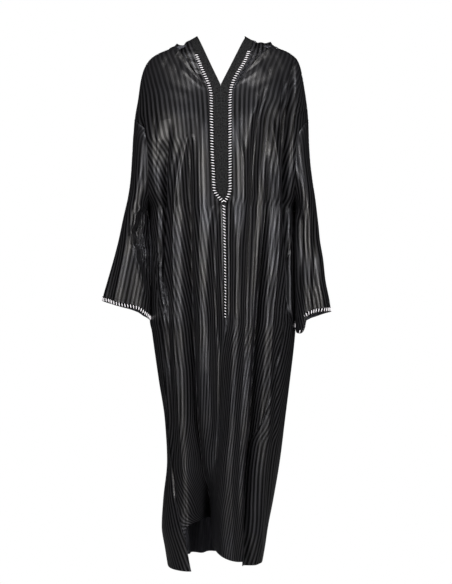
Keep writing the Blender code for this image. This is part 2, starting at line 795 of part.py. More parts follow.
def hood_rib(angle, share):
    """A rib behind the shoulder line, from the neck seam to the band."""
    seam = body_point(angle, neck_drop(angle), 1)
    roll, low, rim = (hood_part(name, angle) for name in ("roll", "low", "rim"))
    full = float(read(HOOD, "full", abs(np.degrees(angle)), "angle"))
    inside = (roll + low) / 2
    clear = body_point(turn_of(inside[0], inside[2]), inside[2], 1)[1] + 0.010
    inside[1] = max(clear, inside[1] * (1 - full) + clear * full)
    up = unit(np.array([0, 0.35 + 0.65 * full, 1 - full]))
    radius = min(0.006 + 0.014 * full, 0.35 * np.linalg.norm(roll - low))
    low_in = low + (unit(roll - low) - 0.35 * up) * radius
    low_out = low + (unit(rim - low) + 0.35 * up) * radius
    outside = (low + rim) / 2 + np.array([0, 0.020, 0.006]) * full
    if full < 0.02:
        return through([seam, roll, low, rim], [0, 0.12, 0.5, 1], share)
    line = [seam, roll, inside, low_in, low, low_out, outside, rim]
    return through(line, [0, 0.12, 0.29, 0.44, 0.5, 0.56, 0.76, 1], share)


def hood_wedge(side, z, rise, share):
    """A rib in front of the shoulder line, across from the neck seam to the band."""
    name = "left" if side < 0 else "right"
    start = np.array([read(NECK_SEAM, name, z), z])
    end = np.array([read(PLACKET, name, z + rise), z + rise])
    line = start + (end - start) * np.asarray(share, float)[:, None]
    return front_at(line[:, 0], line[:, 1])


def wedge_rows():
    """The seam heights of the front ribs, from the tip up, and how far each rises."""
    rows = np.array(NECK_ROWS[::-1])
    return rows, 0.020 * (np.arange(len(rows)) / len(rows)) ** 0.8


def hood_grid(angles, share):
    """All the ribs, from the left tip round the back to the right tip."""
    rows, rises = wedge_rows()
    left = [hood_wedge(-1, z, rise, share) for z, rise in zip(rows, rises)]
    right = [hood_wedge(1, z, rise, share) for z, rise in zip(rows, rises)]
    return np.array(left + [hood_rib(a, share) for a in angles] + right[::-1])


# ---------------------------------------------------------------- bands and braids
def band_front(side, heights, share):
    """Rows of the band from the placket's foot up to the crest."""
    name = "left" if side < 0 else "right"
    grid = []
    for z in heights:
        if z > V_FOOT[1]:
            rise = 0.011 * (z - V_FOOT[1]) / (0.020 - V_FOOT[1])
            free = np.array([read(V_EDGE, name, z + rise), z + rise])
        else:
            free = np.array([read(CENTRE, "x", z), z])
        sewn = np.array([np.interp(z, ROWS[::-1], read(PLACKET, name, np.array(ROWS[::-1]))), z])
        if z > NECK_ROWS[-1]:
            sewn[0] = read(PLACKET, name, z)
        line = sewn + (free - sewn) * np.asarray(share, float)[:, None]
        grid.append(front_at(line[:, 0], line[:, 1]))
    return grid


def band_grid(side, heights, angles, share):
    rows = band_front(side, heights, share)
    for angle in angles:
        rim, edge = hood_part("rim", angle), hood_part("edge", angle)
        rows.append(rim + (edge - rim) * np.asarray(share, float)[:, None])
    return np.array(rows)


def strip(path, width, lift):
    """A strip along a line of (x, z) points on the front, held off it."""
    path = np.array(path, float)
    along = unit(np.gradient(path, axis=0))
    normal = np.stack([-along[:, 1], along[:, 0]], -1)
    width = np.broadcast_to(width, len(path))[:, None]
    lines = [path - normal * width / 2, path + normal * width / 2]
    return np.stack([front_lifted(p[:, 0], p[:, 1], lift) for p in lines], 1)

# ---------------------------------------------------------------- objects
def material(name, colour, roughness, metallic=0.0):
    made = bpy.data.materials.new(name)
    made.use_nodes = True
    shader = made.node_tree.nodes["Principled BSDF"]
    shader.inputs["Base Color"].default_value = (*colour, 1)
    shader.inputs["Roughness"].default_value = roughness
    shader.inputs["Metallic"].default_value = metallic
    return made


def cloth_object(name, grids, wall, offset, colour, roughness, metallic=0.0, closed=False):
    """Loft the rows of one or more grids into one open surface and thicken it."""
    form = bmesh.new()
    for grid in grids:
        rows = [[form.verts.new(point) for point in row] for row in grid]
        count = len(rows[0])
        for upper, lower in zip(rows, rows[1:]):
            for j in range(count if closed else count - 1):
                k = (j + 1) % count
                form.faces.new((upper[j], lower[j], lower[k], upper[k]))
    bmesh.ops.remove_doubles(form, verts=form.verts, dist=0.00002)
    mesh = bpy.data.meshes.new(name)
    form.to_mesh(mesh)
    form.free()
    mesh.shade_smooth()
    mesh.materials.append(material(name, colour, roughness, metallic))
    made = bpy.data.objects.new(name, mesh)
    ROBE.objects.link(made)
    made.parent = HOLD
    thick = made.modifiers.new("wall", "SOLIDIFY")
    thick.thickness = wall
    thick.offset = offset
    thick.use_quality_normals = True
    return made


for old in list(bpy.data.objects):
    bpy.data.objects.remove(old, do_unlink=True)
ROBE = bpy.data.collections.new("djellaba_robe")
bpy.context.scene.collection.children.link(ROBE)
HOLD = bpy.data.objects.new("shoulder_hold", None)
ROBE.objects.link(HOLD)

# Front: two halves that join below the placket.
halves = [
    front_half(-1, ROWS, SKIRT_ROWS, HEM_ROWS, np.linspace(0, 1, FRONT_COLUMNS + 1)),
    front_half(1, ROWS, SKIRT_ROWS, HEM_ROWS, np.linspace(0, 1, FRONT_COLUMNS + 1))[:, ::-1],
]
cloth_object("front", halves, WALL, -1, CLOTH, 0.42)

# Back: one piece, drawn in from the seams it shares with the front.
spread = np.linspace(-1, 1, BACK_COLUMNS + 1)
panel = back_panel(ROWS, SKIRT_ROWS, HEM_ROWS, spread)
slit = SEAM_GAP + (SLIT_GAP - SEAM_GAP) * (np.arange(len(panel)) >= len(ROWS) + len(SKIRT_ROWS))
cloth_object("back", [trim(panel, slit, slit)[:, ::-1]], WALL, -1, CLOTH, 0.42)

# Sleeves: closed below the underarm, open to the armhole above it.
for side, name, braid in ((-1, "sleeve_right", "braid_cuff_right"), (1, "sleeve_left", "braid_cuff_left")):
    share = np.linspace(0, 1, SLEEVE_COLUMNS + 1)
    levels = [SHOULDER_END_Z - 0.0035] + ARMHOLE_ROWS[:-1] + [UNDERARM_Z - 0.002] + SLEEVE_ROWS
    open_rows = len(ARMHOLE_ROWS)
    sides = []
    for face in (-1, 1):
        grid = sleeve_half(side, face, levels, CUFF_ROWS, share)
        gaps = np.linspace(ARMHOLE_GAP, UNDERARM_GAP, open_rows)
        grid[:open_rows] = trim(grid[:open_rows], 0, gaps)
        sides.append(grid[:, ::-1] if side * face < 0 else grid)
    cloth_object(name, sides, WALL, -1, CLOTH, 0.42)
    # The braid wraps the last of the sleeve, held off it.
    rim = [sleeve_half(side, face, levels, CUFF_ROWS, share)[-3:] for face in (-1, 1)]
    ring = np.concatenate([rim[0], rim[1][:, -2:0:-1]], axis=1)
    if side < 0:
        ring = ring[:, ::-1]
    edge, above = ring[-1], unit(ring[-2] - ring[-1])
    rows = np.array([edge + above * (0.0005 + BRAID_WIDTH * k) for k in (1, 0)])
    around = np.roll(rows, -1, axis=1) - np.roll(rows, 1, axis=1)
    out = unit(np.cross(around, above[None]))
    middle = ring[-1].mean(axis=0)
    out = out * np.sign(((rows - middle) * out).sum(-1, keepdims=True))
    cloth_object(braid, [(rows + out * (BRAID_LIFT + BRAID_WALL + 0.0005))[:, ::-1]], BRAID_WALL, -1, SILVER, 0.32, 0.4, closed=True)

# Hood: ribs at the back's own columns, so that the neck seams match.
ribs = spread * np.pi / 2
hood = hood_grid(ribs, np.linspace(0, 1, HOOD_COLUMNS + 1))
cloth_object("hood", [trim(hood, NECK_GAP, 0)[:, ::-1]], WALL, -1, CLOTH, 0.42)

# Bands: along the placket, the neck and the hood's edge.
rows, rises = wedge_rows()
climb = list(rows + rises)
climb = [PLACKET_TIP[1] + 0.006] + ROWS[::-1][2:-7] + climb[:1] + [V_FOOT[1]] + climb[1:]
for side, name in ((-1, "band_right"), (1, "band_left")):
    turns = [a for a in (ribs if side < 0 else ribs[::-1]) if a * side > 0.001]
    turns.append(side * 0.012)
    grid = band_grid(side, climb, turns, (0, 1))
    grid = trim(grid, SEAM_GAP, SEAM_GAP * 0.6)
    cloth_object(name, [grid if side > 0 else grid[:, ::-1]], WALL, -1, GROSGRAIN, 0.75)

# Braids of the neck and the centre front.
down = np.concatenate([[-0.020], np.linspace(-0.045, -0.118, 4), [-0.139], np.linspace(-0.165, -0.410, 8), [-0.424]])
left = [(read(PLACKET, "left", z), z) for z in down]
right = [(read(PLACKET, "right", z), z) for z in down]
path = left + [(PLACKET_TIP[0], PLACKET_TIP[1] + 0.003)] + right[::-1]
lift = BRAID_LIFT + BRAID_WALL
lifts = lift + 0.0010 * np.clip((np.array(path)[:, 1] + 0.14) / 0.08, 0, 1)
cloth_object("braid_neck", [strip(path, BRAID_WIDTH, lifts)], BRAID_WALL, -1, SILVER, 0.32, 0.4)
# The centre braid lies along the middle column of the front, on its facets.
first = len(ROWS) - 1
middle = halves[0][first:, -1]
sides = [halves[0][first:, -2], halves[1][first:, 1]]
keep = middle[:, 2] > CENTRE_BRAID_END - 0.06
middle, sides = middle[keep], [s[keep] for s in sides]
half_width = np.interp(middle[:, 2], [CENTRE_BRAID_END, PLACKET_TIP[1]], [0.0027, 0.0048])[:, None]
rows = [middle + unit(s - middle) * half_width for s in sides]
rows = np.stack([rows[0], middle, rows[1]], 1) + np.array([0, -lift - 0.0014, 0])
end = (CENTRE_BRAID_END - rows[-2, :, 2]) / (rows[-1, :, 2] - rows[-2, :, 2])
rows[-1] = rows[-2] + (rows[-1] - rows[-2]) * end[:, None]
cloth_object("braid_front", [rows], BRAID_WALL, -1, SILVER, 0.32, 0.4)
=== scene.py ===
"""A djellaba robe in satin-striped black cloth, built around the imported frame."""

import bmesh
import bpy
import numpy as np
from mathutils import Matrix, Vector


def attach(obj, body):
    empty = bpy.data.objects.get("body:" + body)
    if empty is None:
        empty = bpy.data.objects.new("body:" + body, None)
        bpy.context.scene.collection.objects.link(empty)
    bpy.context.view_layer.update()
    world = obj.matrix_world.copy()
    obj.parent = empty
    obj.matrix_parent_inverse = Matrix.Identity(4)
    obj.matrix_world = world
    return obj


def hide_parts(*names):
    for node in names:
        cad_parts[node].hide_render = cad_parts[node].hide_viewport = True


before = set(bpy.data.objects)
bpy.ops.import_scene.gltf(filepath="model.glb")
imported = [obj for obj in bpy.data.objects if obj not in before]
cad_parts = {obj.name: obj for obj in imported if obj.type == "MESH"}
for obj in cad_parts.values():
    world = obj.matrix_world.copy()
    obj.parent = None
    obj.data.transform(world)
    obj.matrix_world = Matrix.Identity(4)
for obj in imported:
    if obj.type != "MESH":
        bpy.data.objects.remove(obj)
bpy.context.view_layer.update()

WALL = 0.0012
SEAM_GAP = 0.0008
ARMHOLE_GAP = 0.0013
UNDERARM_GAP = 0.0030
SLIT_GAP = 0.0040
NECK_GAP = 0.0013
BRAID_WIDTH = 0.011
BRAID_WALL = 0.0016
BRAID_LIFT = 0.0006
CENTRE_BRAID_END = -0.757
FRONT_COLUMNS = 11
BACK_COLUMNS = 20
SLEEVE_COLUMNS = 8
SLEEVE_ROWS = [-0.510, -0.575, -0.640]
CUFF_ROWS = 3
HOOD_COLUMNS = 8
CLOTH = (0.022, 0.022, 0.026)
GROSGRAIN = (0.010, 0.010, 0.012)
SILVER = (0.52, 0.52, 0.55)

# ---------------------------------------------------------------- small tools
def columns(names, rows):
    """A table with named columns, as a dict of arrays."""
    data = np.array(rows, float)
    return {name: data[:, i] for i, name in enumerate(names.split())}


def smooth(x, xs, ys):
    """A monotone cubic curve through (xs, ys), read at x."""
    xs, ys = np.asarray(xs, float), np.asarray(ys, float)
    if xs[0] > xs[-1]:
        xs, ys = xs[::-1], ys[::-1]
    step = np.diff(xs)
    rise = np.diff(ys) / step
    slope = np.zeros_like(ys)
    slope[0], slope[-1] = rise[0], rise[-1]
    if len(xs) > 2:
        w1, w2 = 2 * step[1:] + step[:-1], step[1:] + 2 * step[:-1]
        a = np.where(rise[:-1] == 0, 1e-12, rise[:-1])
        b = np.where(rise[1:] == 0, 1e-12, rise[1:])
        slope[1:-1] = np.where(a * b > 0, (w1 + w2) / (w1 / a + w2 / b + 1e-30), 0)
    x = np.clip(x, xs[0], xs[-1])
    i = np.clip(np.searchsorted(xs, x) - 1, 0, len(step) - 1)
    t = (x - xs[i]) / step[i]
    return (
        (1 + 2 * t) * (1 - t) ** 2 * ys[i]
        + t * (1 - t) ** 2 * step[i] * slope[i]
        + t * t * (3 - 2 * t) * ys[i + 1]
        + t * t * (t - 1) * step[i] * slope[i + 1]
    )


def read(table, column, at, key="z"):
    return smooth(at, table[key], table[column])


def unit(v):
    return v / np.maximum(np.linalg.norm(v, axis=-1, keepdims=True), 1e-12)


def ease(t):
    t = np.clip(t, 0, 1)
    return t * t * (3 - 2 * t)


# ---------------------------------------------------------------- the robe's sizes, in metres
NECK_Z = 0.0  # where the shoulder line meets the neck, the height of the origin
UNDERARM_Z = -0.458
SHOULDER_END_Z = -0.204  # the dropped end of the shoulder line, on the upper arm
PLACKET_TIP = (0.0078, -0.4436)
V_FOOT = (-0.0007, -0.1195)
HEM_Z = -1.425
SLIT_TOP_Z = -1.252

# The outline of the body, a row for each height: its two sides, its depth in front
# and behind, and how square its section is. Above the underarm the sides are
# the outer arm, because the cut drops over the shoulder.
BODY = columns(
    "z left right front back power",
    [
        (0.033, -0.064, 0.067, 0.016, 0.020, 2.0),
        (0.020, -0.086, 0.092, 0.032, 0.036, 2.0),
        (0.012, -0.099, 0.112, 0.043, 0.047, 2.0),
        (0.006, -0.116, 0.136, 0.050, 0.055, 2.0),
        (0.000, -0.130, 0.148, 0.056, 0.062, 2.1),
        (-0.008, -0.148, 0.170, 0.062, 0.069, 2.15),
        (-0.014, -0.163, 0.185, 0.066, 0.073, 2.2),
        (-0.022, -0.180, 0.198, 0.071, 0.078, 2.2),
        (-0.036, -0.199, 0.213, 0.080, 0.088, 2.2),
        (-0.064, -0.216, 0.224, 0.094, 0.100, 2.2),
        (-0.092, -0.224, 0.229, 0.106, 0.110, 2.2),
        (-0.148, -0.232, 0.238, 0.124, 0.122, 2.3),
        (-0.204, -0.241, 0.244, 0.136, 0.130, 2.3),
        (-0.290, -0.246, 0.246, 0.144, 0.132, 2.4),
        (-0.350, -0.243, 0.242, 0.147, 0.131, 2.4),
        (-0.410, -0.224, 0.222, 0.148, 0.129, 2.4),
        (-0.458, -0.2000, 0.2040, 0.149, 0.127, 2.4),
        (-0.484, -0.2004, 0.2062, 0.149, 0.127, 2.4),
        (-0.520, -0.2000, 0.2072, 0.150, 0.126, 2.4),
        (-0.560, -0.1992, 0.2080, 0.150, 0.125, 2.4),
        (-0.620, -0.1985, 0.2086, 0.150, 0.124, 2.4),
        (-0.720, -0.1995, 0.2094, 0.150, 0.122, 2.4),
        (-0.768, -0.1990, 0.2092, 0.150, 0.122, 2.4),
        (-0.795, -0.1935, 0.208, 0.150, 0.122, 2.4),
        (-0.820, -0.190, 0.206, 0.150, 0.121, 2.4),
        (-0.932, -0.174, 0.193, 0.150, 0.119, 2.4),
        (-1.044, -0.157, 0.179, 0.148, 0.116, 2.4),
        (-1.156, -0.151, 0.165, 0.146, 0.113, 2.3),
        (-1.268, -0.162, 0.146, 0.143, 0.109, 2.2),
        (-1.340, -0.166, 0.132, 0.141, 0.106, 2.2),
        (-1.400, -0.157, 0.123, 0.140, 0.103, 2.2),
        (-1.450, -0.149, 0.114, 0.139, 0.101, 2.2),
    ],
)

# Where the armhole seam runs, seen from the front. It starts on the outline.
ARMHOLE = columns(
    "z left right",
    [
        (-0.204, -0.2410, 0.2440),
        (-0.222, -0.2270, 0.2310),
        (-0.245, -0.2120, 0.2170),
        (-0.290, -0.2030, 0.2080),
        (-0.360, -0.2000, 0.2055),
        (-0.420, -0.2000, 0.2045),
        (-0.458, -0.2000, 0.2040),
    ],
)

# The side seams swing to the front on the way down, and the slits open in them.
SIDE_SEAM = columns(
    "z left right",
    [
        (-0.458, -0.2000, 0.2040),
        (-0.522, -0.1940, 0.1975),
        (-0.614, -0.1820, 0.1880),
        (-0.690, -0.1740, 0.1820),
        (-0.740, -0.1710, 0.1760),
        (-0.820, -0.1600, 0.1660),
        (-0.950, -0.1530, 0.1370),
        (-1.050, -0.1470, 0.1090),
        (-1.120, -0.1400, 0.0890),
        (-1.252, -0.1260, 0.0830),
        (-1.316, -0.1110, 0.0790),
        (-1.375, -0.0950, 0.0760),
        (-1.450, -0.0850, 0.0740),
    ],
)

# The centre front, from the foot of the V down.
CENTRE = columns(
    "z x",
    [
        (-0.1195, -0.0007),
        (-0.4436, 0.0078),
        (-0.756, 0.0113),
        (-0.870, 0.0010),
        (-0.978, -0.0050),
        (-1.060, -0.0100),
        (-1.167, -0.0180),
        (-1.300, -0.0230),
        (-1.450, -0.0210),
    ],
)

# The line under the neck braid, where the fronts meet the placket bands.
PLACKET = columns(
    "z left right",
    [
        (0.0200, -0.0850, 0.0900),
        (0.0040, -0.0820, 0.0870),
        (-0.0240, -0.0715, 0.0770),
        (-0.0515, -0.0610, 0.0665),
        (-0.0850, -0.0480, 0.0470),
        (-0.1100, -0.0370, 0.0345),
        (-0.1390, -0.0278, 0.0264),
        (-0.1480, -0.0266, 0.0257),
        (-0.1950, -0.0256, 0.0249),
        (-0.3070, -0.0233, 0.0251),
        (-0.3620, -0.0203, 0.0251),
        (-0.4100, -0.0178, 0.0246),
        (-0.4230, -0.0110, 0.0205),
        (-0.4436, 0.0078, 0.0078),
    ],
)

# The free edge of the V, which the bands finish.
V_EDGE = columns(
    "z left right",
    [
        (0.0310, -0.0665, 0.0700),
        (-0.0500, -0.0322, 0.0330),
        (-0.1195, -0.0007, -0.0007),
    ],
)

# The seam between the hood and the fronts, down from the shoulder line.
NECK_SEAM = columns(
    "z left right",
    [
        (-0.0030, -0.1260, 0.1400),
        (-0.0220, -0.1110, 0.1170),
        (-0.0450, -0.0975, 0.0985),
        (-0.0700, -0.0830, 0.0795),
        (-0.0950, -0.0665, 0.0610),
        (-0.1180, -0.0510, 0.0460),
        (-0.1300, -0.0430, 0.0385),
        (-0.1390, -0.0300, 0.0285),
    ],
)

# The large folds, a row for each height on each fold: where it lies, how far it
# goes in (out, if negative) and half its width.
FRONT_FOLDS = {
    "left_armhole": [
        (-0.190, -0.226, 0.000, 0.014),
        (-0.235, -0.216, 0.014, 0.015),
        (-0.300, -0.206, 0.022, 0.017),
        (-0.400, -0.203, 0.018, 0.018),
        (-0.470, -0.203, 0.000, 0.018),
    ],
    "right_armhole": [
        (-0.170, 0.210, 0.000, 0.014),
        (-0.225, 0.202, 0.014, 0.016),
        (-0.300, 0.190, 0.024, 0.017),
        (-0.400, 0.188, 0.020, 0.018),
        (-0.470, 0.188, 0.000, 0.018),
    ],
    "left_bust": [
        (-0.130, -0.150, 0.000, 0.020),
        (-0.190, -0.150, 0.008, 0.018),
        (-0.300, -0.163, 0.014, 0.015),
        (-0.420, -0.160, 0.024, 0.014),
        (-0.520, -0.160, 0.026, 0.014),
        (-0.620, -0.160, 0.017, 0.015),
        (-0.740, -0.156, 0.000, 0.017),
    ],
    "left_inner": [
        (-0.250, -0.090, 0.000, 0.014),
        (-0.330, -0.088, 0.009, 0.014),
        (-0.440, -0.088, 0.017, 0.015),
        (-0.570, -0.085, 0.026, 0.016),
        (-0.710, -0.083, 0.035, 0.017),
        (-0.870, -0.080, 0.044, 0.019),
        (-0.980, -0.077, 0.050, 0.020),
        (-1.110, -0.070, 0.062, 0.022),
        (-1.250, -0.063, 0.084, 0.025),
        (-1.360, -0.053, 0.108, 0.027),
        (-1.450, -0.049, 0.114, 0.028),
    ],
    "left_centre": [
        (-0.450, -0.016, 0.000, 0.011),
        (-0.520, -0.018, 0.009, 0.012),
        (-0.620, -0.018, 0.016, 0.013),
        (-0.740, -0.011, 0.021, 0.015),
        (-0.850, -0.004, 0.030, 0.017),
        (-0.980, -0.005, 0.034, 0.017),
        (-1.070, -0.011, 0.032, 0.018),
        (-1.180, -0.019, 0.026, 0.018),
        (-1.330, -0.024, 0.016, 0.016),
        (-1.450, -0.024, 0.012, 0.016),
    ],
    "right_bust": [
        (-0.150, 0.112, 0.000, 0.016),
        (-0.220, 0.106, 0.010, 0.015),
        (-0.300, 0.090, 0.014, 0.015),
        (-0.420, 0.079, 0.013, 0.015),
        (-0.560, 0.070, 0.009, 0.014),
        (-0.740, 0.068, 0.004, 0.014),
        (-0.900, 0.066, 0.000, 0.014),
    ],
    "right_outer": [
        (-0.480, 0.130, 0.000, 0.014),
        (-0.560, 0.128, 0.012, 0.014),
        (-0.640, 0.120, 0.024, 0.015),
        (-0.740, 0.110, 0.032, 0.017),
        (-0.870, 0.102, 0.040, 0.019),
        (-1.000, 0.096, 0.046, 0.021),
        (-1.110, 0.088, 0.050, 0.022),
        (-1.250, 0.084, 0.046, 0.021),
        (-1.340, 0.079, 0.036, 0.019),
        (-1.450, 0.076, 0.028, 0.018),
    ],
    "right_side": [
        (-0.480, 0.176, 0.006, 0.015),
        (-0.620, 0.182, 0.014, 0.016),
        (-0.760, 0.186, 0.012, 0.016),
        (-0.840, 0.186, 0.000, 0.016),
    ],
    "main_ridge": [
        (-0.420, 0.050, 0.000, 0.022),
        (-0.620, 0.048, -0.005, 0.022),
        (-0.870, 0.040, -0.008, 0.024),
        (-1.110, 0.030, -0.012, 0.027),
        (-1.300, 0.022, -0.014, 0.030),
        (-1.450, 0.018, -0.014, 0.032),
    ],
    "left_ridge": [
        (-0.300, -0.120, 0.000, 0.020),
        (-0.440, -0.122, -0.005, 0.016),
        (-0.700, -0.124, -0.007, 0.017),
        (-1.000, -0.115, -0.007, 0.018),
        (-1.250, -0.098, -0.008, 0.018),
        (-1.450, -0.090, -0.006, 0.018),
    ],
    "mid_ridge": [
        (-0.350, -0.052, 0.000, 0.014),
        (-0.500, -0.052, -0.004, 0.015),
        (-0.800, -0.047, -0.006, 0.015),
        (-1.000, -0.046, -0.003, 0.014),
        (-1.100, -0.045, 0.000, 0.014),
    ],
    "right_ridge": [
        (-0.200, 0.140, 0.000, 0.018),
        (-0.350, 0.146, -0.005, 0.017),
        (-0.700, 0.147, -0.007, 0.018),
        (-0.870, 0.132, -0.005, 0.016),
        (-1.000, 0.125, 0.000, 0.016),
    ],
}
BACK_FOLDS = {
    "left_armhole": [
        (-0.200, -0.226, 0.000, 0.014),
        (-0.240, -0.216, 0.010, 0.015),
        (-0.300, -0.206, 0.018, 0.017),
        (-0.400, -0.203, 0.015, 0.018),
        (-0.470, -0.203, 0.000, 0.018),
    ],
    "right_armhole": [
        (-0.200, 0.226, 0.000, 0.014),
        (-0.240, 0.214, 0.010, 0.015),
        (-0.300, 0.204, 0.018, 0.017),
        (-0.400, 0.199, 0.015, 0.018),
        (-0.470, 0.199, 0.000, 0.018),
    ],
    "far_left": [
        (-0.320, -0.155, 0.000, 0.016),
        (-0.520, -0.150, 0.014, 0.016),
        (-0.800, -0.140, 0.022, 0.019),
        (-1.100, -0.118, 0.032, 0.021),
        (-1.450, -0.112, 0.040, 0.022),
    ],
    "mid_left": [
        (-0.420, -0.085, 0.000, 0.016),
        (-0.600, -0.082, 0.012, 0.017),
        (-0.900, -0.072, 0.026, 0.020),
        (-1.200, -0.066, 0.040, 0.022),
        (-1.450, -0.064, 0.050, 0.023),
    ],
    "centre": [
        (-0.500, -0.010, 0.000, 0.018),
        (-0.700, -0.006, 0.010, 0.018),
        (-1.000, 0.000, 0.022, 0.020),
        (-1.250, -0.004, 0.026, 0.021),
        (-1.450, -0.008, 0.028, 0.022),
    ],
    "mid_right": [
        (-0.360, 0.075, 0.000, 0.016),
        (-0.560, 0.073, 0.015, 0.017),
        (-0.850, 0.064, 0.028, 0.019),
        (-1.150, 0.050, 0.038, 0.021),
        (-1.450, 0.042, 0.046, 0.022),
    ],
    "far_right": [
        (-0.300, 0.150, 0.000, 0.016),
        (-0.500, 0.147, 0.016, 0.016),
        (-0.800, 0.135, 0.024, 0.018),
        (-1.100, 0.105, 0.026, 0.019),
        (-1.450, 0.080, 0.030, 0.020),
    ],
}
FOLD_COLUMNS = "z x depth width"


# ---------------------------------------------------------------- the body's surface
def body_at(z):
    left, right = read(BODY, "left", z), read(BODY, "right", z)
    return (left + right) / 2, (right - left) / 2, read(BODY, "power", z)


def turn_of(x, z):
    """The angle round the section, 0 at the middle and a quarter turn at each side."""
    middle, half, power = body_at(z)
    share = np.clip((x - middle) / half, -1, 1)
    return np.sign(share) * np.arcsin(np.abs(share) ** (power / 2))


def body_point(turn, z, side):
    """A point of the cloth: side is -1 in front and 1 behind."""
    turn, z = np.broadcast_arrays(np.asarray(turn, float), np.asarray(z, float))
    middle, half, power = body_at(z)
    deep = read(BODY, "front" if side < 0 else "back", z)
    s, c = np.sin(turn), np.clip(np.cos(turn), 0, 1)
    across, along = np.sign(s) * np.abs(s) ** (2 / power), c ** (2 / power)
    x, y = middle + half * across, side * deep * along
    inward = unit(
        np.stack(
            [
                -np.sign(s) * np.abs(across) ** (power - 1) / half,
                -side * along ** (power - 1) / deep,
            ],
            -1,
        )
        + 1e-9
    )
    push = np.zeros_like(x)
    folds = FRONT_FOLDS if side < 0 else BACK_FOLDS
    for rows in folds.values():
        fold = columns(FOLD_COLUMNS, rows)
        at = turn_of(read(fold, "x", z), z)
        radius = np.sqrt((half * np.cos(at)) ** 2 + (deep * np.sin(at)) ** 2)
        away = (turn - at) * radius / read(fold, "width", z)
        push += read(fold, "depth", z) * np.exp(-(away**2))
    push = push * (1 - np.exp(-(((np.pi / 2 - np.abs(turn)) / 0.22) ** 2)))
    return np.stack([x + inward[..., 0] * push, y + inward[..., 1] * push, z], -1)


def outer_normal(grid, way):
    """Normals of a grid of points (rows, columns, 3), pointing out when way is 1."""
    across, down = np.gradient(grid, axis=1), np.gradient(grid, axis=0)
    return unit(np.cross(across, down)) * way

# ---------------------------------------------------------------- rows of points that the pieces share
NECK_ROWS = [-0.003, -0.022, -0.045, -0.070, -0.095, -0.118, -0.136]
YOKE_ROWS = [-0.170, SHOULDER_END_Z]
ARMHOLE_ROWS = [-0.218, -0.243, -0.278, -0.318, -0.360, -0.400, -0.424, PLACKET_TIP[1], UNDERARM_Z]
SKIRT_ROWS = [-0.505, -0.560, -0.625, -0.700, -0.785, -0.875, -0.970, -1.075, -1.185]
HEM_ROWS = 4
ROWS = NECK_ROWS + YOKE_ROWS + ARMHOLE_ROWS
NECK_SEAM_END = -0.139
NECK_OFFSET = 0.020

# The cut edge at the front hem, and at the back hem by the angle round the section.
FRONT_HEM = columns(
    "x z",
    [
        (-0.100, -1.376),
        (-0.090, -1.366),
        (-0.074, -1.342),
        (-0.058, -1.318),
        (-0.046, -1.311),
        (-0.036, -1.318),
        (-0.028, -1.345),
        (-0.021, -1.389),
        (-0.008, -1.401),
        (0.020, -1.414),
        (0.050, -1.421),
        (0.085, -1.424),
    ],
)
BACK_HEM = columns(
    "angle z",
    [
        (-150, -1.449),
        (-115, -1.449),
        (-80, -1.441),
        (-45, -1.427),
        (0, -1.4235),
        (45, -1.427),
        (85, -1.434),
        (150, -1.439),
    ],
)
# The neck seam over the back, from the centre to the shoulder line.
BACK_NECK = columns(
    "angle z",
    [(0, -0.112), (6, -0.090), (14, -0.055), (25, -0.033), (45, -0.016), (65, -0.008), (90, -0.003)],
)


def front_at(x, z):
    return body_point(turn_of(x, z), z, -1)


def front_lifted(x, z, lift):
    """A point held off the front by a small height."""
    x, z = np.broadcast_arrays(np.asarray(x, float), np.asarray(z, float))
    step = 0.002
    across = front_at(x + step, z) - front_at(x - step, z)
    down = front_at(x, z - step) - front_at(x, z + step)
    normal = unit(np.cross(down, across))
    normal = normal * -np.sign(normal[..., 1:2] + 1e-12)
    return front_at(x, z) + normal * np.asarray(lift)[..., None]


def outer_edge(side, z):
    """The angle of the front's outer edge: shoulder line, armhole, then side seam."""
    name = "left" if side < 0 else "right"
    armhole = turn_of(read(ARMHOLE, name, z), z)
    seam = turn_of(read(SIDE_SEAM, name, z), z)
    edge = np.where(z > UNDERARM_Z, armhole, seam)
    return np.where(z >= SHOULDER_END_Z, side * np.pi / 2, edge)


def inner_edge(side, z):
    """The front's inner edge: neck seam, placket, then the centre line."""
    name = "left" if side < 0 else "right"
    x = np.where(z > PLACKET_TIP[1], read(PLACKET, name, z), read(CENTRE, "x", z))
    return np.where(z > NECK_SEAM_END, read(NECK_SEAM, name, z), x)


def front_half(side, rows, skirt, hem_rows, share):
    """One half of the front as a grid, share running from the outer edge to the inner."""
    share = np.asarray(share, float)
    levels = np.array(list(rows) + list(skirt))
    z = np.repeat(levels[:, None], len(share), 1)
    last = levels[-1]
    name = "left" if side < 0 else "right"
    foot = read(SIDE_SEAM, name, -1.40) * (1 - share) + read(CENTRE, "x", -1.40) * share
    drop = read(FRONT_HEM, "z", foot, "x") - last
    steps = np.arange(1, hem_rows + 1)[:, None] / hem_rows
    z = np.vstack([z, last + steps * drop])
    outer = outer_edge(side, z)
    inner = turn_of(inner_edge(side, z), z)
    return body_point(outer + (inner - outer) * share, z, -1)


def ring_point(angle, z):
    """A point at an angle round the whole section: 0 at the centre back."""
    behind = body_point(np.clip(angle, -np.pi / 2, np.pi / 2), z, 1)
    wrapped = np.sign(angle) * (np.pi - np.abs(angle))
    ahead = body_point(np.clip(wrapped, -np.pi / 2, np.pi / 2), z, -1)
    return np.where((np.abs(angle) <= np.pi / 2)[..., None], behind, ahead)


def back_edge(side, z):
    """The angle of the back's edge, which goes on round the side to the seam."""
    name = "left" if side < 0 else "right"
    armhole = turn_of(read(ARMHOLE, name, z), z)
    seam = side * np.pi - turn_of(read(SIDE_SEAM, name, z), z)
    edge = np.where(z > UNDERARM_Z, armhole, seam)
    return np.where(z >= SHOULDER_END_Z, side * np.pi / 2, edge)


def neck_drop(angle):
    return read(BACK_NECK, "z", np.abs(np.degrees(angle)), "angle")


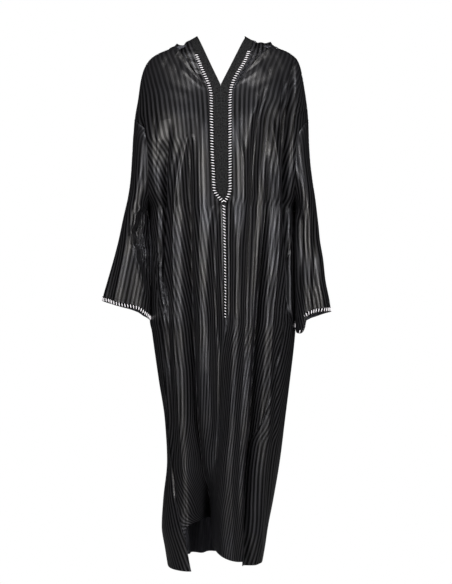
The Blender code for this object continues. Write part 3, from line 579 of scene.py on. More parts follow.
def back_panel(rows, skirt, hem_rows, share):
    """The back as a grid, share running from -1 at the left seam to 1 at the right."""
    share = np.asarray(share, float)
    levels = np.array(list(rows) + list(skirt))
    top = neck_drop(share * np.pi / 2)
    z = np.repeat(levels[:, None], len(share), 1)
    yoke = levels >= SHOULDER_END_Z
    fall = (levels[yoke] - levels[0]) / (SHOULDER_END_Z - levels[0])
    z[yoke] = top + fall[:, None] * (SHOULDER_END_Z - top)
    last = levels[-1]
    way = np.where(share < 0, -1, 1)
    foot = np.abs(share) * np.where(share < 0, -back_edge(-1, -1.4), back_edge(1, -1.4)) * way
    drop = read(BACK_HEM, "z", np.degrees(foot), "angle") - last
    steps = np.arange(1, hem_rows + 1)[:, None] / hem_rows
    z = np.vstack([z, last + steps * drop])
    edge = np.where(share < 0, -back_edge(-1, z), back_edge(1, z))
    return ring_point(share * edge, z)


def trim(grid, first, last):
    """Shorten every row of a grid at its two ends, keeping its points' shares."""
    made = grid.copy()
    first, last = np.broadcast_to(first, len(grid)), np.broadcast_to(last, len(grid))
    for i, row in enumerate(grid):
        along = np.concatenate([[0], np.cumsum(np.linalg.norm(np.diff(row, axis=0), axis=1))])
        new = first[i] + along / along[-1] * (along[-1] - first[i] - last[i])
        made[i] = np.stack([np.interp(new, along, row[:, k]) for k in range(3)], -1)
    return made


# ---------------------------------------------------------------- sleeves
# A row for each height of the tube: its outer and inner sides as distances
# from the centre plane, and its depth in front and behind.
SLEEVE = {
    -1: columns(
        "z outer inner front back shift",
        [
            (-0.204, 0.2415, 0.2300, 0.020, 0.020, 0.000),
            (-0.260, 0.2460, 0.2300, 0.060, 0.060, 0.000),
            (-0.316, 0.2490, 0.2300, 0.080, 0.074, 0.000),
            (-0.372, 0.2525, 0.2200, 0.088, 0.080, 0.000),
            (-0.428, 0.2600, 0.2080, 0.083, 0.076, 0.000),
            (-0.460, 0.2670, 0.2034, 0.077, 0.068, -0.006),
            (-0.484, 0.2720, 0.2004, 0.071, 0.056, -0.034),
            (-0.510, 0.2770, 0.1988, 0.067, 0.050, -0.046),
            (-0.540, 0.2830, 0.1972, 0.063, 0.047, -0.050),
            (-0.596, 0.2970, 0.1954, 0.059, 0.046, -0.051),
            (-0.652, 0.3130, 0.1952, 0.056, 0.046, -0.051),
            (-0.708, 0.3280, 0.1968, 0.054, 0.046, -0.051),
            (-0.770, 0.3360, 0.1978, 0.052, 0.046, -0.051),
        ],
    ),
    1: columns(
        "z outer inner front back shift",
        [
            (-0.204, 0.2445, 0.2300, 0.020, 0.020, 0.000),
            (-0.260, 0.2460, 0.2300, 0.060, 0.060, 0.000),
            (-0.316, 0.2490, 0.2300, 0.080, 0.074, 0.000),
            (-0.372, 0.2550, 0.2200, 0.090, 0.080, 0.000),
            (-0.428, 0.2630, 0.2080, 0.086, 0.076, 0.000),
            (-0.460, 0.2665, 0.2080, 0.079, 0.068, -0.006),
            (-0.484, 0.2690, 0.2066, 0.074, 0.056, -0.034),
            (-0.510, 0.2715, 0.2058, 0.070, 0.050, -0.046),
            (-0.540, 0.2740, 0.2052, 0.068, 0.047, -0.050),
            (-0.596, 0.2830, 0.2053, 0.066, 0.046, -0.051),
            (-0.652, 0.2890, 0.2056, 0.066, 0.045, -0.051),
            (-0.708, 0.3000, 0.2070, 0.068, 0.045, -0.051),
            (-0.800, 0.3130, 0.2086, 0.070, 0.045, -0.051),
        ],
    ),
}
# The cuff's height by the angle round the sleeve: 0 outside, 90 in front.
CUFF = {
    -1: columns(
        "angle z",
        [
            (0, -0.709),
            (45, -0.716),
            (85, -0.727),
            (118, -0.735),
            (140, -0.749),
            (180, -0.764),
            (225, -0.754),
            (243, -0.743),
            (270, -0.732),
            (315, -0.718),
            (360, -0.709),
        ],
    ),
    1: columns(
        "angle z",
        [
            (0, -0.740),
            (50, -0.740),
            (85, -0.743),
            (108, -0.749),
            (116, -0.756),
            (128, -0.786),
            (142, -0.800),
            (160, -0.799),
            (185, -0.788),
            (225, -0.773),
            (243, -0.768),
            (270, -0.757),
            (315, -0.745),
            (360, -0.740),
        ],
    ),
}
# Folds of the sleeves: the angle where each lies, and its depth and half width.
SLEEVE_FOLDS = {
    -1: {
        "underarm": [
            (-0.425, 130, 0.000, 0.013),
            (-0.460, 124, 0.012, 0.013),
            (-0.490, 117, 0.026, 0.014),
            (-0.530, 112, 0.036, 0.016),
            (-0.570, 117, 0.034, 0.016),
            (-0.613, 132, 0.026, 0.014),
            (-0.665, 142, 0.009, 0.012),
            (-0.705, 148, 0.000, 0.012),
        ],
        "outer": [
            (-0.520, 40, 0.000, 0.014),
            (-0.620, 42, 0.006, 0.014),
            (-0.760, 46, 0.008, 0.016),
        ],
    },
    1: {
        "underarm": [
            (-0.430, 132, 0.000, 0.012),
            (-0.480, 130, 0.012, 0.012),
            (-0.560, 134, 0.014, 0.013),
            (-0.660, 140, 0.008, 0.013),
            (-0.760, 140, 0.000, 0.013),
        ],
        "outer": [
            (-0.400, 58, 0.000, 0.014),
            (-0.520, 60, 0.007, 0.014),
            (-0.620, 72, 0.009, 0.013),
            (-0.700, 86, 0.012, 0.013),
            (-0.800, 92, 0.015, 0.015),
        ],
    },
}
SLEEVE_POWER = 2.2


def sleeve_section(side, z, face):
    """The half section from the outer side to the seam: its centre, half width,
    depth and how far round it goes."""
    name = "left" if side < 0 else "right"
    table = SLEEVE[side]
    outer = read(table, "outer", z)
    depth = read(table, "front" if face < 0 else "back", z)
    seam_x = np.abs(read(ARMHOLE, name, z))
    seam = body_point(turn_of(side * seam_x, z), z, face)
    seam_y = np.abs(seam[..., 1])
    above = z > UNDERARM_Z
    depth = np.where(above, np.maximum(depth, seam_y * 1.001), depth)
    past = np.clip(1 - (seam_y / depth) ** SLEEVE_POWER, 0, 1) ** (1 / SLEEVE_POWER)
    half = np.where(above, (outer - np.abs(seam[..., 0])) / (1 + past), (outer - read(table, "inner", z)) / 2)
    reach = np.where(above, np.pi / 2 + np.arcsin(past ** (SLEEVE_POWER / 2)), np.pi)
    return outer - half, half, depth, reach, read(table, "shift", z)


def sleeve_half(side, face, levels, cuff_rows, share):
    """Half of a sleeve as a grid, share running from the outer side to the seam
    and, under the arm, to the inner side."""
    share = np.asarray(share, float)
    levels = np.asarray(levels, float)
    z = np.repeat(levels[:, None], len(share), 1)
    last = levels[-1]
    degrees = 180 * share if face < 0 else 360 - 180 * share
    drop = read(CUFF[side], "z", degrees, "angle") - last
    steps = np.arange(1, cuff_rows + 1)[:, None] / cuff_rows
    z = np.vstack([z, last + steps * drop])
    return sleeve_point(side, face, share, z)


def sleeve_point(side, face, share, z):
    share, z = np.broadcast_arrays(np.asarray(share, float), np.asarray(z, float))
    centre, half, depth, reach, shift = sleeve_section(side, z, face)
    angle = share * reach
    c, s = np.cos(angle), np.sin(angle)
    across = np.sign(c) * np.abs(c) ** (2 / SLEEVE_POWER)
    along = np.abs(s) ** (2 / SLEEVE_POWER)
    x, y = centre + half * across, shift + face * depth * along
    inward = unit(np.stack([-c / half, -face * np.abs(s) / depth], -1))
    push = np.zeros_like(x)
    for rows in SLEEVE_FOLDS[side].values():
        fold = columns("z angle depth width", rows)
        at = np.radians(read(fold, "angle", z))
        radius = np.sqrt((half * np.sin(at)) ** 2 + (depth * np.cos(at)) ** 2)
        away = (angle * (-face) - at) * radius / read(fold, "width", z)
        push += read(fold, "depth", z) * np.exp(-(away**2))
    return np.stack([side * (x + inward[..., 0] * push), y + inward[..., 1] * push, z], -1)


# ---------------------------------------------------------------- hood
# The hood hangs down the back. A row for each rib, by its angle round the neck
# from the centre back: where it rolls over, its lowest point, the seam of its
# band and the free edge, and how full the pouch is there.
HOOD = columns(
    "angle roll_x roll_y roll_z low_x low_y low_z rim_x rim_y rim_z edge_x edge_y edge_z full",
    [
        (0, 0.000, 0.124, -0.102, 0.000, 0.175, -0.385, 0.000, 0.192, -0.150, 0.000, 0.187, -0.126, 1.00),
        (15, 0.062, 0.107, -0.058, 0.085, 0.160, -0.285, 0.053, 0.168, -0.100, 0.040, 0.158, -0.078, 0.95),
        (30, 0.104, 0.087, -0.032, 0.138, 0.126, -0.150, 0.084, 0.129, -0.042, 0.063, 0.116, -0.024, 0.72),
        (40, 0.119, 0.070, -0.021, 0.156, 0.100, -0.092, 0.093, 0.105, -0.016, 0.070, 0.094, -0.001, 0.55),
        (50, 0.129, 0.054, -0.012, 0.167, 0.073, -0.054, 0.100, 0.082, 0.002, 0.077, 0.072, 0.015, 0.38),
        (60, 0.132, 0.038, -0.006, 0.162, 0.048, -0.021, 0.097, 0.056, 0.012, 0.075, 0.050, 0.024, 0.24),
        (70, 0.131, 0.023, -0.001, 0.149, 0.028, -0.005, 0.094, 0.036, 0.018, 0.073, 0.031, 0.029, 0.12),
        (80, 0.129, 0.012, 0.002, 0.134, 0.014, 0.002, 0.091, 0.018, 0.020, 0.070, 0.016, 0.031, 0.05),
        (90, 0.128, 0.002, 0.003, 0.118, 0.001, 0.007, 0.0855, 0.0005, 0.020, 0.0665, 0.0005, 0.031, 0.00),
    ],
)


def hood_part(name, angle):
    side = np.sign(angle) + (angle == 0)
    at = np.abs(np.degrees(angle))
    x, y, z = (read(HOOD, name + "_" + axis, at, "angle") for axis in "xyz")
    if name in ("roll", "low"):
        # The left shoulder line starts further out than the right one.
        x = x + (side > 0) * NECK_OFFSET * ease(at / 55)
    return np.stack([side * x, y, z], -1)


def through(points, knots, share):
    """A smooth line through a list of points, each reached at its own knot."""
    points, knots = np.array(points), np.array(knots, float)
    tangent = np.gradient(points, axis=0) / np.gradient(knots)[:, None]
    share = np.clip(np.asarray(share, float), 0, 1)
    i = np.clip(np.searchsorted(knots, share) - 1, 0, len(knots) - 2)
    step = (knots[i + 1] - knots[i])[:, None]
    t = (share[:, None] - knots[i][:, None]) / step
    return (
        (1 + 2 * t) * (1 - t) ** 2 * points[i]
        + t * (1 - t) ** 2 * step * tangent[i]
        + t * t * (3 - 2 * t) * points[i + 1]
        + t * t * (t - 1) * step * tangent[i + 1]
    )


def hood_rib(angle, share):
    """A rib behind the shoulder line, from the neck seam to the band."""
    seam = body_point(angle, neck_drop(angle), 1)
    roll, low, rim = (hood_part(name, angle) for name in ("roll", "low", "rim"))
    full = float(read(HOOD, "full", abs(np.degrees(angle)), "angle"))
    inside = (roll + low) / 2
    clear = body_point(turn_of(inside[0], inside[2]), inside[2], 1)[1] + 0.010
    inside[1] = max(clear, inside[1] * (1 - full) + clear * full)
    up = unit(np.array([0, 0.35 + 0.65 * full, 1 - full]))
    radius = min(0.006 + 0.014 * full, 0.35 * np.linalg.norm(roll - low))
    low_in = low + (unit(roll - low) - 0.35 * up) * radius
    low_out = low + (unit(rim - low) + 0.35 * up) * radius
    outside = (low + rim) / 2 + np.array([0, 0.020, 0.006]) * full
    if full < 0.02:
        return through([seam, roll, low, rim], [0, 0.12, 0.5, 1], share)
    line = [seam, roll, inside, low_in, low, low_out, outside, rim]
    return through(line, [0, 0.12, 0.29, 0.44, 0.5, 0.56, 0.76, 1], share)


def hood_wedge(side, z, rise, share):
    """A rib in front of the shoulder line, across from the neck seam to the band."""
    name = "left" if side < 0 else "right"
    start = np.array([read(NECK_SEAM, name, z), z])
    end = np.array([read(PLACKET, name, z + rise), z + rise])
    line = start + (end - start) * np.asarray(share, float)[:, None]
    return front_at(line[:, 0], line[:, 1])


def wedge_rows():
    """The seam heights of the front ribs, from the tip up, and how far each rises."""
    rows = np.array(NECK_ROWS[::-1])
    return rows, 0.020 * (np.arange(len(rows)) / len(rows)) ** 0.8


def hood_grid(angles, share):
    """All the ribs, from the left tip round the back to the right tip."""
    rows, rises = wedge_rows()
    left = [hood_wedge(-1, z, rise, share) for z, rise in zip(rows, rises)]
    right = [hood_wedge(1, z, rise, share) for z, rise in zip(rows, rises)]
    return np.array(left + [hood_rib(a, share) for a in angles] + right[::-1])


# ---------------------------------------------------------------- bands and braids
def band_front(side, heights, share):
    """Rows of the band from the placket's foot up to the crest."""
    name = "left" if side < 0 else "right"
    grid = []
    for z in heights:
        if z > V_FOOT[1]:
            rise = 0.011 * (z - V_FOOT[1]) / (0.020 - V_FOOT[1])
            free = np.array([read(V_EDGE, name, z + rise), z + rise])
        else:
            free = np.array([read(CENTRE, "x", z), z])
        sewn = np.array([np.interp(z, ROWS[::-1], read(PLACKET, name, np.array(ROWS[::-1]))), z])
        if z > NECK_ROWS[-1]:
            sewn[0] = read(PLACKET, name, z)
        line = sewn + (free - sewn) * np.asarray(share, float)[:, None]
        grid.append(front_at(line[:, 0], line[:, 1]))
    return grid


def band_grid(side, heights, angles, share):
    rows = band_front(side, heights, share)
    for angle in angles:
        rim, edge = hood_part("rim", angle), hood_part("edge", angle)
        rows.append(rim + (edge - rim) * np.asarray(share, float)[:, None])
    return np.array(rows)


def strip(path, width, lift):
    """A strip along a line of (x, z) points on the front, held off it."""
    path = np.array(path, float)
    along = unit(np.gradient(path, axis=0))
    normal = np.stack([-along[:, 1], along[:, 0]], -1)
    width = np.broadcast_to(width, len(path))[:, None]
    lines = [path - normal * width / 2, path + normal * width / 2]
    return np.stack([front_lifted(p[:, 0], p[:, 1], lift) for p in lines], 1)

# ---------------------------------------------------------------- finer folds, for the look
# The front's folds again, with more of them: where each lies, how far it goes in
# (out, if negative), and half its width towards -X and towards +X.
FRONT_FOLDS = {
    "seam_dip_right": [
        (-0.196, -0.2167, 0.000, 0.014, 0.008),
        (-0.226, -0.2167, 0.007, 0.014, 0.008),
        (-0.268, -0.2167, 0.022, 0.014, 0.008),
        (-0.347, -0.2154, 0.034, 0.014, 0.008),
        (-0.444, -0.2084, 0.024, 0.013, 0.008),
        (-0.491, -0.2056, 0.000, 0.012, 0.008),
    ],
    "shoulder_dip_right": [
        (-0.191, -0.1812, 0.000, 0.006, 0.006),
        (-0.235, -0.1812, 0.002, 0.006, 0.006),
        (-0.290, -0.1799, 0.002, 0.006, 0.006),
        (-0.340, -0.1785, 0.000, 0.006, 0.006),
    ],
    "bust_right": [
        (-0.215, -0.1440, 0.000, 0.030, 0.014),
        (-0.260, -0.1450, 0.006, 0.030, 0.013),
        (-0.310, -0.1500, 0.018, 0.024, 0.012),
        (-0.351, -0.1579, 0.026, 0.018, 0.013),
        (-0.406, -0.1606, 0.033, 0.013, 0.011),
        (-0.461, -0.1593, 0.038, 0.012, 0.008),
        (-0.516, -0.1593, 0.038, 0.011, 0.007),
        (-0.571, -0.1620, 0.033, 0.009, 0.006),
        (-0.626, -0.1620, 0.020, 0.008, 0.006),
        (-0.708, -0.1486, 0.009, 0.010, 0.009),
        (-0.870, -0.1432, 0.007, 0.010, 0.010),
        (-1.033, -0.1378, 0.006, 0.010, 0.010),
        (-1.195, -0.1296, 0.005, 0.010, 0.010),
        (-1.317, -0.1161, 0.000, 0.010, 0.010),
    ],
    "inner_right": [
        (-0.258, -0.0836, 0.000, 0.007, 0.007),
        (-0.280, -0.0849, 0.009, 0.008, 0.008),
        (-0.315, -0.0863, 0.015, 0.010, 0.009),
        (-0.369, -0.0876, 0.021, 0.013, 0.011),
        (-0.464, -0.0890, 0.027, 0.015, 0.013),
        (-0.572, -0.0890, 0.032, 0.016, 0.013),
        (-0.708, -0.0863, 0.037, 0.016, 0.014),
        (-0.870, -0.0836, 0.043, 0.017, 0.015),
        (-1.033, -0.0809, 0.048, 0.017, 0.018),
        (-1.155, -0.0754, 0.056, 0.018, 0.024),
    ],
    "centre_right": [
        (-0.442, -0.0077, 0.000, 0.008, 0.007),
        (-0.475, -0.0117, 0.010, 0.009, 0.007),
        (-0.572, -0.0158, 0.022, 0.011, 0.008),
        (-0.708, -0.0158, 0.029, 0.012, 0.009),
        (-0.870, -0.0063, 0.037, 0.014, 0.013),
        (-1.033, -0.0077, 0.035, 0.014, 0.013),
        (-1.195, -0.0185, 0.028, 0.022, 0.013),
        (-1.331, -0.0239, 0.016, 0.022, 0.012),
    ],
    "centre_left": [
        (-0.420, 0.0221, 0.000, 0.006, 0.006),
        (-0.458, 0.0221, 0.012, 0.006, 0.007),
        (-0.572, 0.0221, 0.017, 0.006, 0.008),
        (-0.708, 0.0221, 0.015, 0.006, 0.007),
        (-0.789, 0.0181, 0.010, 0.006, 0.006),
        (-0.859, 0.0113, 0.000, 0.006, 0.006),
    ],
    "bust_left": [
        (-0.118, 0.1240, 0.000, 0.012, 0.010),
        (-0.150, 0.1190, 0.005, 0.011, 0.009),
        (-0.178, 0.1135, 0.013, 0.010, 0.009),
        (-0.214, 0.1061, 0.021, 0.013, 0.012),
        (-0.274, 0.0980, 0.024, 0.014, 0.013),
        (-0.355, 0.0912, 0.026, 0.012, 0.012),
        (-0.464, 0.0858, 0.022, 0.011, 0.010),
        (-0.572, 0.0777, 0.017, 0.011, 0.009),
        (-0.708, 0.0723, 0.013, 0.010, 0.009),
        (-0.870, 0.0668, 0.010, 0.010, 0.009),
        (-1.033, 0.0574, 0.007, 0.010, 0.009),
        (-1.195, 0.0519, 0.005, 0.010, 0.009),
        (-1.304, 0.0465, 0.000, 0.010, 0.009),
    ],
    "outer_left": [
        (-0.301, 0.1332, 0.000, 0.008, 0.007),
        (-0.361, 0.1305, 0.008, 0.008, 0.007),
        (-0.464, 0.1278, 0.018, 0.009, 0.008),
        (-0.572, 0.1210, 0.028, 0.011, 0.009),
        (-0.708, 0.1116, 0.038, 0.012, 0.012),
        (-0.870, 0.1021, 0.044, 0.014, 0.013),
        (-1.033, 0.0953, 0.047, 0.014, 0.013),
        (-1.195, 0.0845, 0.047, 0.016, 0.014),
        (-1.331, 0.0818, 0.036, 0.016, 0.014),
        (-1.412, 0.0818, 0.030, 0.016, 0.014),
    ],
    "side_left": [
        (-0.041, 0.2044, 0.000, 0.007, 0.007),
        (-0.080, 0.2017, 0.015, 0.008, 0.007),
        (-0.124, 0.1975, 0.021, 0.008, 0.008),
        (-0.185, 0.1900, 0.023, 0.009, 0.009),
        (-0.240, 0.1859, 0.025, 0.011, 0.009),
        (-0.351, 0.1818, 0.031, 0.012, 0.010),
        (-0.461, 0.1818, 0.029, 0.012, 0.010),
        (-0.571, 0.1845, 0.026, 0.011, 0.010),
        (-0.708, 0.1900, 0.020, 0.010, 0.010),
        (-0.769, 0.1947, 0.000, 0.010, 0.010),
    ],
    "second_left": [
        (-0.098, 0.1763, 0.000, 0.006, 0.006),
        (-0.130, 0.1721, 0.009, 0.006, 0.006),
        (-0.185, 0.1694, 0.011, 0.006, 0.006),
        (-0.246, 0.1666, 0.008, 0.006, 0.006),
        (-0.312, 0.1653, 0.000, 0.006, 0.006),
    ],
    "ridge_a": [
        (-0.214, -0.0836, 0.000, 0.014, 0.014),
        (-0.274, -0.0944, -0.003, 0.012, 0.012),
        (-0.355, -0.1134, -0.006, 0.012, 0.013),
        (-0.464, -0.1242, -0.009, 0.012, 0.013),
        (-0.572, -0.1269, -0.009, 0.012, 0.014),
        (-0.708, -0.1242, -0.008, 0.012, 0.014),
        (-0.870, -0.1215, -0.008, 0.012, 0.014),
        (-1.033, -0.1107, -0.007, 0.012, 0.014),
        (-1.195, -0.0971, -0.006, 0.012, 0.012),
        (-1.358, -0.0863, -0.004, 0.012, 0.012),
    ],
    "ridge_b": [
        (-0.187, -0.0538, 0.000, 0.010, 0.010),
        (-0.247, -0.0538, -0.005, 0.009, 0.009),
        (-0.355, -0.0551, -0.006, 0.009, 0.009),
        (-0.464, -0.0524, -0.006, 0.009, 0.010),
        (-0.572, -0.0551, -0.006, 0.009, 0.010),
        (-0.708, -0.0538, -0.005, 0.009, 0.010),
        (-0.870, -0.0538, -0.004, 0.009, 0.012),
        (-1.033, -0.0483, -0.002, 0.009, 0.010),
        (-1.168, -0.0402, 0.000, 0.009, 0.009),
    ],
    "ridge_c": [
        (-0.179, 0.0438, 0.000, 0.010, 0.010),
        (-0.233, 0.0438, -0.004, 0.009, 0.009),
        (-0.342, 0.0601, -0.006, 0.009, 0.009),
        (-0.464, 0.0574, -0.005, 0.011, 0.011),
        (-0.572, 0.0452, -0.008, 0.011, 0.011),
        (-0.708, 0.0452, -0.010, 0.011, 0.012),
        (-0.870, 0.0357, -0.011, 0.013, 0.013),
        (-1.033, 0.0276, -0.012, 0.014, 0.014),
        (-1.195, 0.0221, -0.013, 0.016, 0.016),
        (-1.358, 0.0248, -0.012, 0.022, 0.020),
    ],
    "ridge_d": [
        (-0.198, 0.1332, 0.000, 0.012, 0.012),
        (-0.247, 0.1414, -0.004, 0.011, 0.011),
        (-0.351, 0.1543, -0.007, 0.010, 0.010),
        (-0.461, 0.1570, -0.008, 0.010, 0.009),
        (-0.571, 0.1543, -0.008, 0.010, 0.009),
        (-0.708, 0.1441, -0.007, 0.011, 0.011),
        (-0.870, 0.1332, -0.006, 0.011, 0.011),
        (-1.033, 0.1305, -0.005, 0.011, 0.011),
        (-1.195, 0.1170, -0.004, 0.011, 0.011),
        (-1.358, 0.1116, -0.002, 0.011, 0.011),
    ],
    "side_rise_left": [
        (-0.818, 0.1735, 0.000, 0.009, 0.009),
        (-0.880, 0.1560, 0.0022, 0.010, 0.010),
        (-0.952, 0.1530, 0.0030, 0.010, 0.010),
        (-1.093, 0.1440, 0.0030, 0.010, 0.010),
        (-1.195, 0.1332, 0.0030, 0.010, 0.010),
        (-1.358, 0.1224, 0.002, 0.010, 0.010),
    ],
}
FRONT_FOLDS["middle_hollow"] = [
    (-0.900, -0.046, 0.000, 0.018, 0.016),
    (-1.030, -0.046, 0.012, 0.020, 0.018),
    (-1.170, -0.042, 0.026, 0.022, 0.018),
    (-1.300, -0.040, 0.034, 0.022, 0.018),
    (-1.450, -0.040, 0.030, 0.022, 0.018),
]
FRONT_FOLDS["inner_right"] += [
    (-1.250, -0.0640, 0.084, 0.024, 0.026),
    (-1.360, -0.0540, 0.108, 0.027, 0.027),
    (-1.450, -0.0490, 0.114, 0.028, 0.028),
]
SOFT_FOLD_COLUMNS = "z x depth low_side high_side"


def soft_folds(table):
    """The folds as tables, with a half width for each side of each fold."""
    return [columns(SOFT_FOLD_COLUMNS, [r if len(r) == 5 else (*r, r[3]) for r in rows]) for rows in table.values()]


SOFT_FOLDS = {-1: soft_folds(FRONT_FOLDS), 1: soft_folds(BACK_FOLDS)}


def body_point(turn, z, side):
    """A point of the cloth, with the finer folds."""
    turn, z = np.broadcast_arrays(np.asarray(turn, float), np.asarray(z, float))
    middle, half, power = body_at(z)
    deep = read(BODY, "front" if side < 0 else "back", z)
    s, c = np.sin(turn), np.clip(np.cos(turn), 0, 1)
    across, along = np.sign(s) * np.abs(s) ** (2 / power), c ** (2 / power)
    x, y = middle + half * across, side * deep * along
    inward = unit(
        np.stack(
            [
                -np.sign(s) * np.abs(across) ** (power - 1) / half,
                -side * along ** (power - 1) / deep,
            ],
            -1,
        )
        + 1e-9
    )
    push = np.zeros_like(x)
    for fold in SOFT_FOLDS[side]:
        at = turn_of(read(fold, "x", z), z)
        radius = np.sqrt((half * np.cos(at)) ** 2 + (deep * np.sin(at)) ** 2)
        wide = np.where(turn < at, read(fold, "low_side", z), read(fold, "high_side", z))
        away = (turn - at) * radius / wide
        push += read(fold, "depth", z) * np.exp(-(away**2))
    push = push * (1 - np.exp(-(((np.pi / 2 - np.abs(turn)) / 0.22) ** 2)))
    return np.stack([x + inward[..., 0] * push, y + inward[..., 1] * push, z], -1)


# The sleeves come forward bit by bit, rather than at the underarm.
SLEEVE_SHIFT = columns(
    "z shift",
    [
        (-0.290, 0.000),
        (-0.360, -0.006),
        (-0.420, -0.016),
        (-0.458, -0.024),
        (-0.500, -0.036),
        (-0.540, -0.044),
        (-0.600, -0.050),
        (-0.660, -0.051),
        (-0.800, -0.051),
    ],
)
SLEEVE_FOLDS[-1].pop("underarm")


def sleeve_section(side, z, face):
    """As in the part, with the bulge past the seam growing bit by bit."""
    name = "left" if side < 0 else "right"
    table = SLEEVE[side]
    outer = read(table, "outer", z)
    depth = read(table, "front" if face < 0 else "back", z)
    seam_x = np.abs(read(ARMHOLE, name, z))
    seam = body_point(turn_of(side * seam_x, z), z, face)
    seam_y = np.abs(seam[..., 1])
    above = z > UNDERARM_Z
    soft = 0.0045
    depth = np.where(above, seam_y + soft * np.logaddexp(0, (depth - seam_y) / soft), depth)
    past = np.clip(1 - (seam_y / depth) ** SLEEVE_POWER, 0, 1) ** (1 / SLEEVE_POWER)
    half = np.where(above, (outer - np.abs(seam[..., 0])) / (1 + past), (outer - read(table, "inner", z)) / 2)
    reach = np.where(above, np.pi / 2 + np.arcsin(past ** (SLEEVE_POWER / 2)), np.pi)
    return outer - half, half, depth, reach, read(table, "shift", z)


def sleeve_point(side, face, share, z):
    share, z = np.broadcast_arrays(np.asarray(share, float), np.asarray(z, float))
    centre, half, depth, reach, shift = sleeve_section(side, z, face)
    held = (1 - ease((UNDERARM_Z - z) / 0.030)) * ease((share - 0.62) / 0.38)
    shift = read(SLEEVE_SHIFT, "shift", z) * (1 - held)
    angle = share * reach
    c, s = np.cos(angle), np.sin(angle)
    across = np.sign(c) * np.abs(c) ** (2 / SLEEVE_POWER)
    along = np.abs(s) ** (2 / SLEEVE_POWER)
    x, y = centre + half * across, shift + face * depth * along
    inward = unit(np.stack([-c / half, -face * np.abs(s) / depth], -1))
    push = np.zeros_like(x)
    for rows in SLEEVE_FOLDS[side].values():
        fold = columns("z angle depth width", rows)
        at = np.radians(read(fold, "angle", z))
        radius = np.sqrt((half * np.sin(at)) ** 2 + (depth * np.cos(at)) ** 2)
        away = (angle * (-face) - at) * radius / read(fold, "width", z)
        push += read(fold, "depth", z) * np.exp(-(away**2))
    return np.stack([side * (x + inward[..., 0] * push), y + inward[..., 1] * push, z], -1)


# The hollow where the right sleeve's front breaks under the arm: how far out its
# ragged edge lies at each height, and how deep the cloth falls in behind it.
HOLLOW = columns(
    "z edge depth",
    [
        (-0.425, 0.2035, 0.000),
        (-0.447, 0.2060, 0.010),
        (-0.462, 0.2215, 0.024),
        (-0.474, 0.2300, 0.032),
        (-0.497, 0.2335, 0.036),
        (-0.521, 0.2420, 0.038),
        (-0.540, 0.2375, 0.038),
        (-0.552, 0.2395, 0.038),
        (-0.571, 0.2280, 0.036),
        (-0.586, 0.2295, 0.034),
        (-0.612, 0.2215, 0.032),
        (-0.640, 0.2150, 0.026),
        (-0.667, 0.2090, 0.018),
        (-0.700, 0.2040, 0.000),
    ],
)


def sleeve_hollow(grid):
    """How far back the right sleeve's front goes in its hollow."""
    x, y, z = -grid[..., 0], grid[..., 1], grid[..., 2]
    in_front = ease((-0.048 - y) / 0.030)
    edge = read(HOLLOW, "edge", z)
    inside = edge - x
    deep = read(HOLLOW, "depth", z)
    push = deep * ease((inside + 0.001) / 0.009)
    push = push - 0.0035 * (deep > 0) * np.exp(-(((inside + 0.0035) / 0.0035) ** 2)) * ease(deep / 0.02)
    for off, tall, wide in ((0.0120, 0.0060, 0.0024), (0.0195, 0.0055, 0.0024), (0.0270, 0.0050, 0.0024)):
        ragged = off - 0.10 * (z + 0.55)
        push = push - tall * np.exp(-(((inside - ragged) / wide) ** 2)) * ease(deep / 0.03)
    return push * in_front


# Creases that don't run straight down, a row each: where they start and end on
# the front, how deep they are (a ridge, if negative), and half their width.
CREASES = {
    "front_right": [
        (-0.120, -0.022, -0.060, -0.070, 0.0016, 0.006),
        (-0.112, -0.045, -0.062, -0.110, -0.0013, 0.006),
        (-0.105, -0.075, -0.050, -0.128, 0.0013, 0.006),
        (-0.180, -0.100, -0.075, -0.150, -0.0030, 0.022),
        (-0.160, -0.050, -0.110, -0.070, 0.0030, 0.020),
    ],
    "front_left": [
        (0.128, -0.022, 0.066, -0.066, 0.0016, 0.006),
        (0.116, -0.045, 0.066, -0.090, -0.0013, 0.006),
        (0.100, -0.080, 0.050, -0.112, 0.0013, 0.006),
        (0.160, -0.095, 0.080, -0.140, -0.0030, 0.022),
        (0.165, -0.055, 0.120, -0.075, 0.0030, 0.020),
        (0.228, -0.090, 0.200, -0.106, -0.0024, 0.0035),
        (0.230, -0.102, 0.201, -0.118, -0.0028, 0.0035),
        (0.231, -0.114, 0.201, -0.130, -0.0028, 0.0034),
        (0.232, -0.126, 0.202, -0.142, -0.0030, 0.0036),
        (0.234, -0.138, 0.202, -0.154, -0.0028, 0.0034),
        (0.235, -0.150, 0.203, -0.167, -0.0032, 0.0036),
        (0.237, -0.163, 0.203, -0.180, -0.0030, 0.0036),
        (0.239, -0.176, 0.204, -0.195, -0.0034, 0.0040),
    ],
}
CREASE_COLUMNS = "x z to_x to_z depth width"


def wave(at, pace, seed):
    """An uneven ripple between about -1 and 1."""
    a = np.sin(at * pace + seed)
    b = np.sin(at * pace * 1.618 + seed * 2.3 + 1.1)
    c = np.sin(at * pace * 0.414 + seed * 3.7 + 2.6)
    return 0.45 * a + 0.35 * b + 0.35 * c


def crease_push(name, x, z):
    table = columns(CREASE_COLUMNS, CREASES[name])
    push = np.zeros_like(x)
    for i in range(len(table["x"])):
        a = np.array([table["x"][i], table["z"][i]])
        b = np.array([table["to_x"][i], table["to_z"][i]])
        run = b - a
        length = np.linalg.norm(run)
        along = ((x - a[0]) * run[0] + (z - a[1]) * run[1]) / length**2
        off = ((x - a[0]) * -run[1] + (z - a[1]) * run[0]) / length
        fade = ease((along + 0.15) / 0.35) * ease((1.15 - along) / 0.35)
        push += table["depth"][i] * np.exp(-((off / table["width"][i]) ** 2)) * fade
    return push


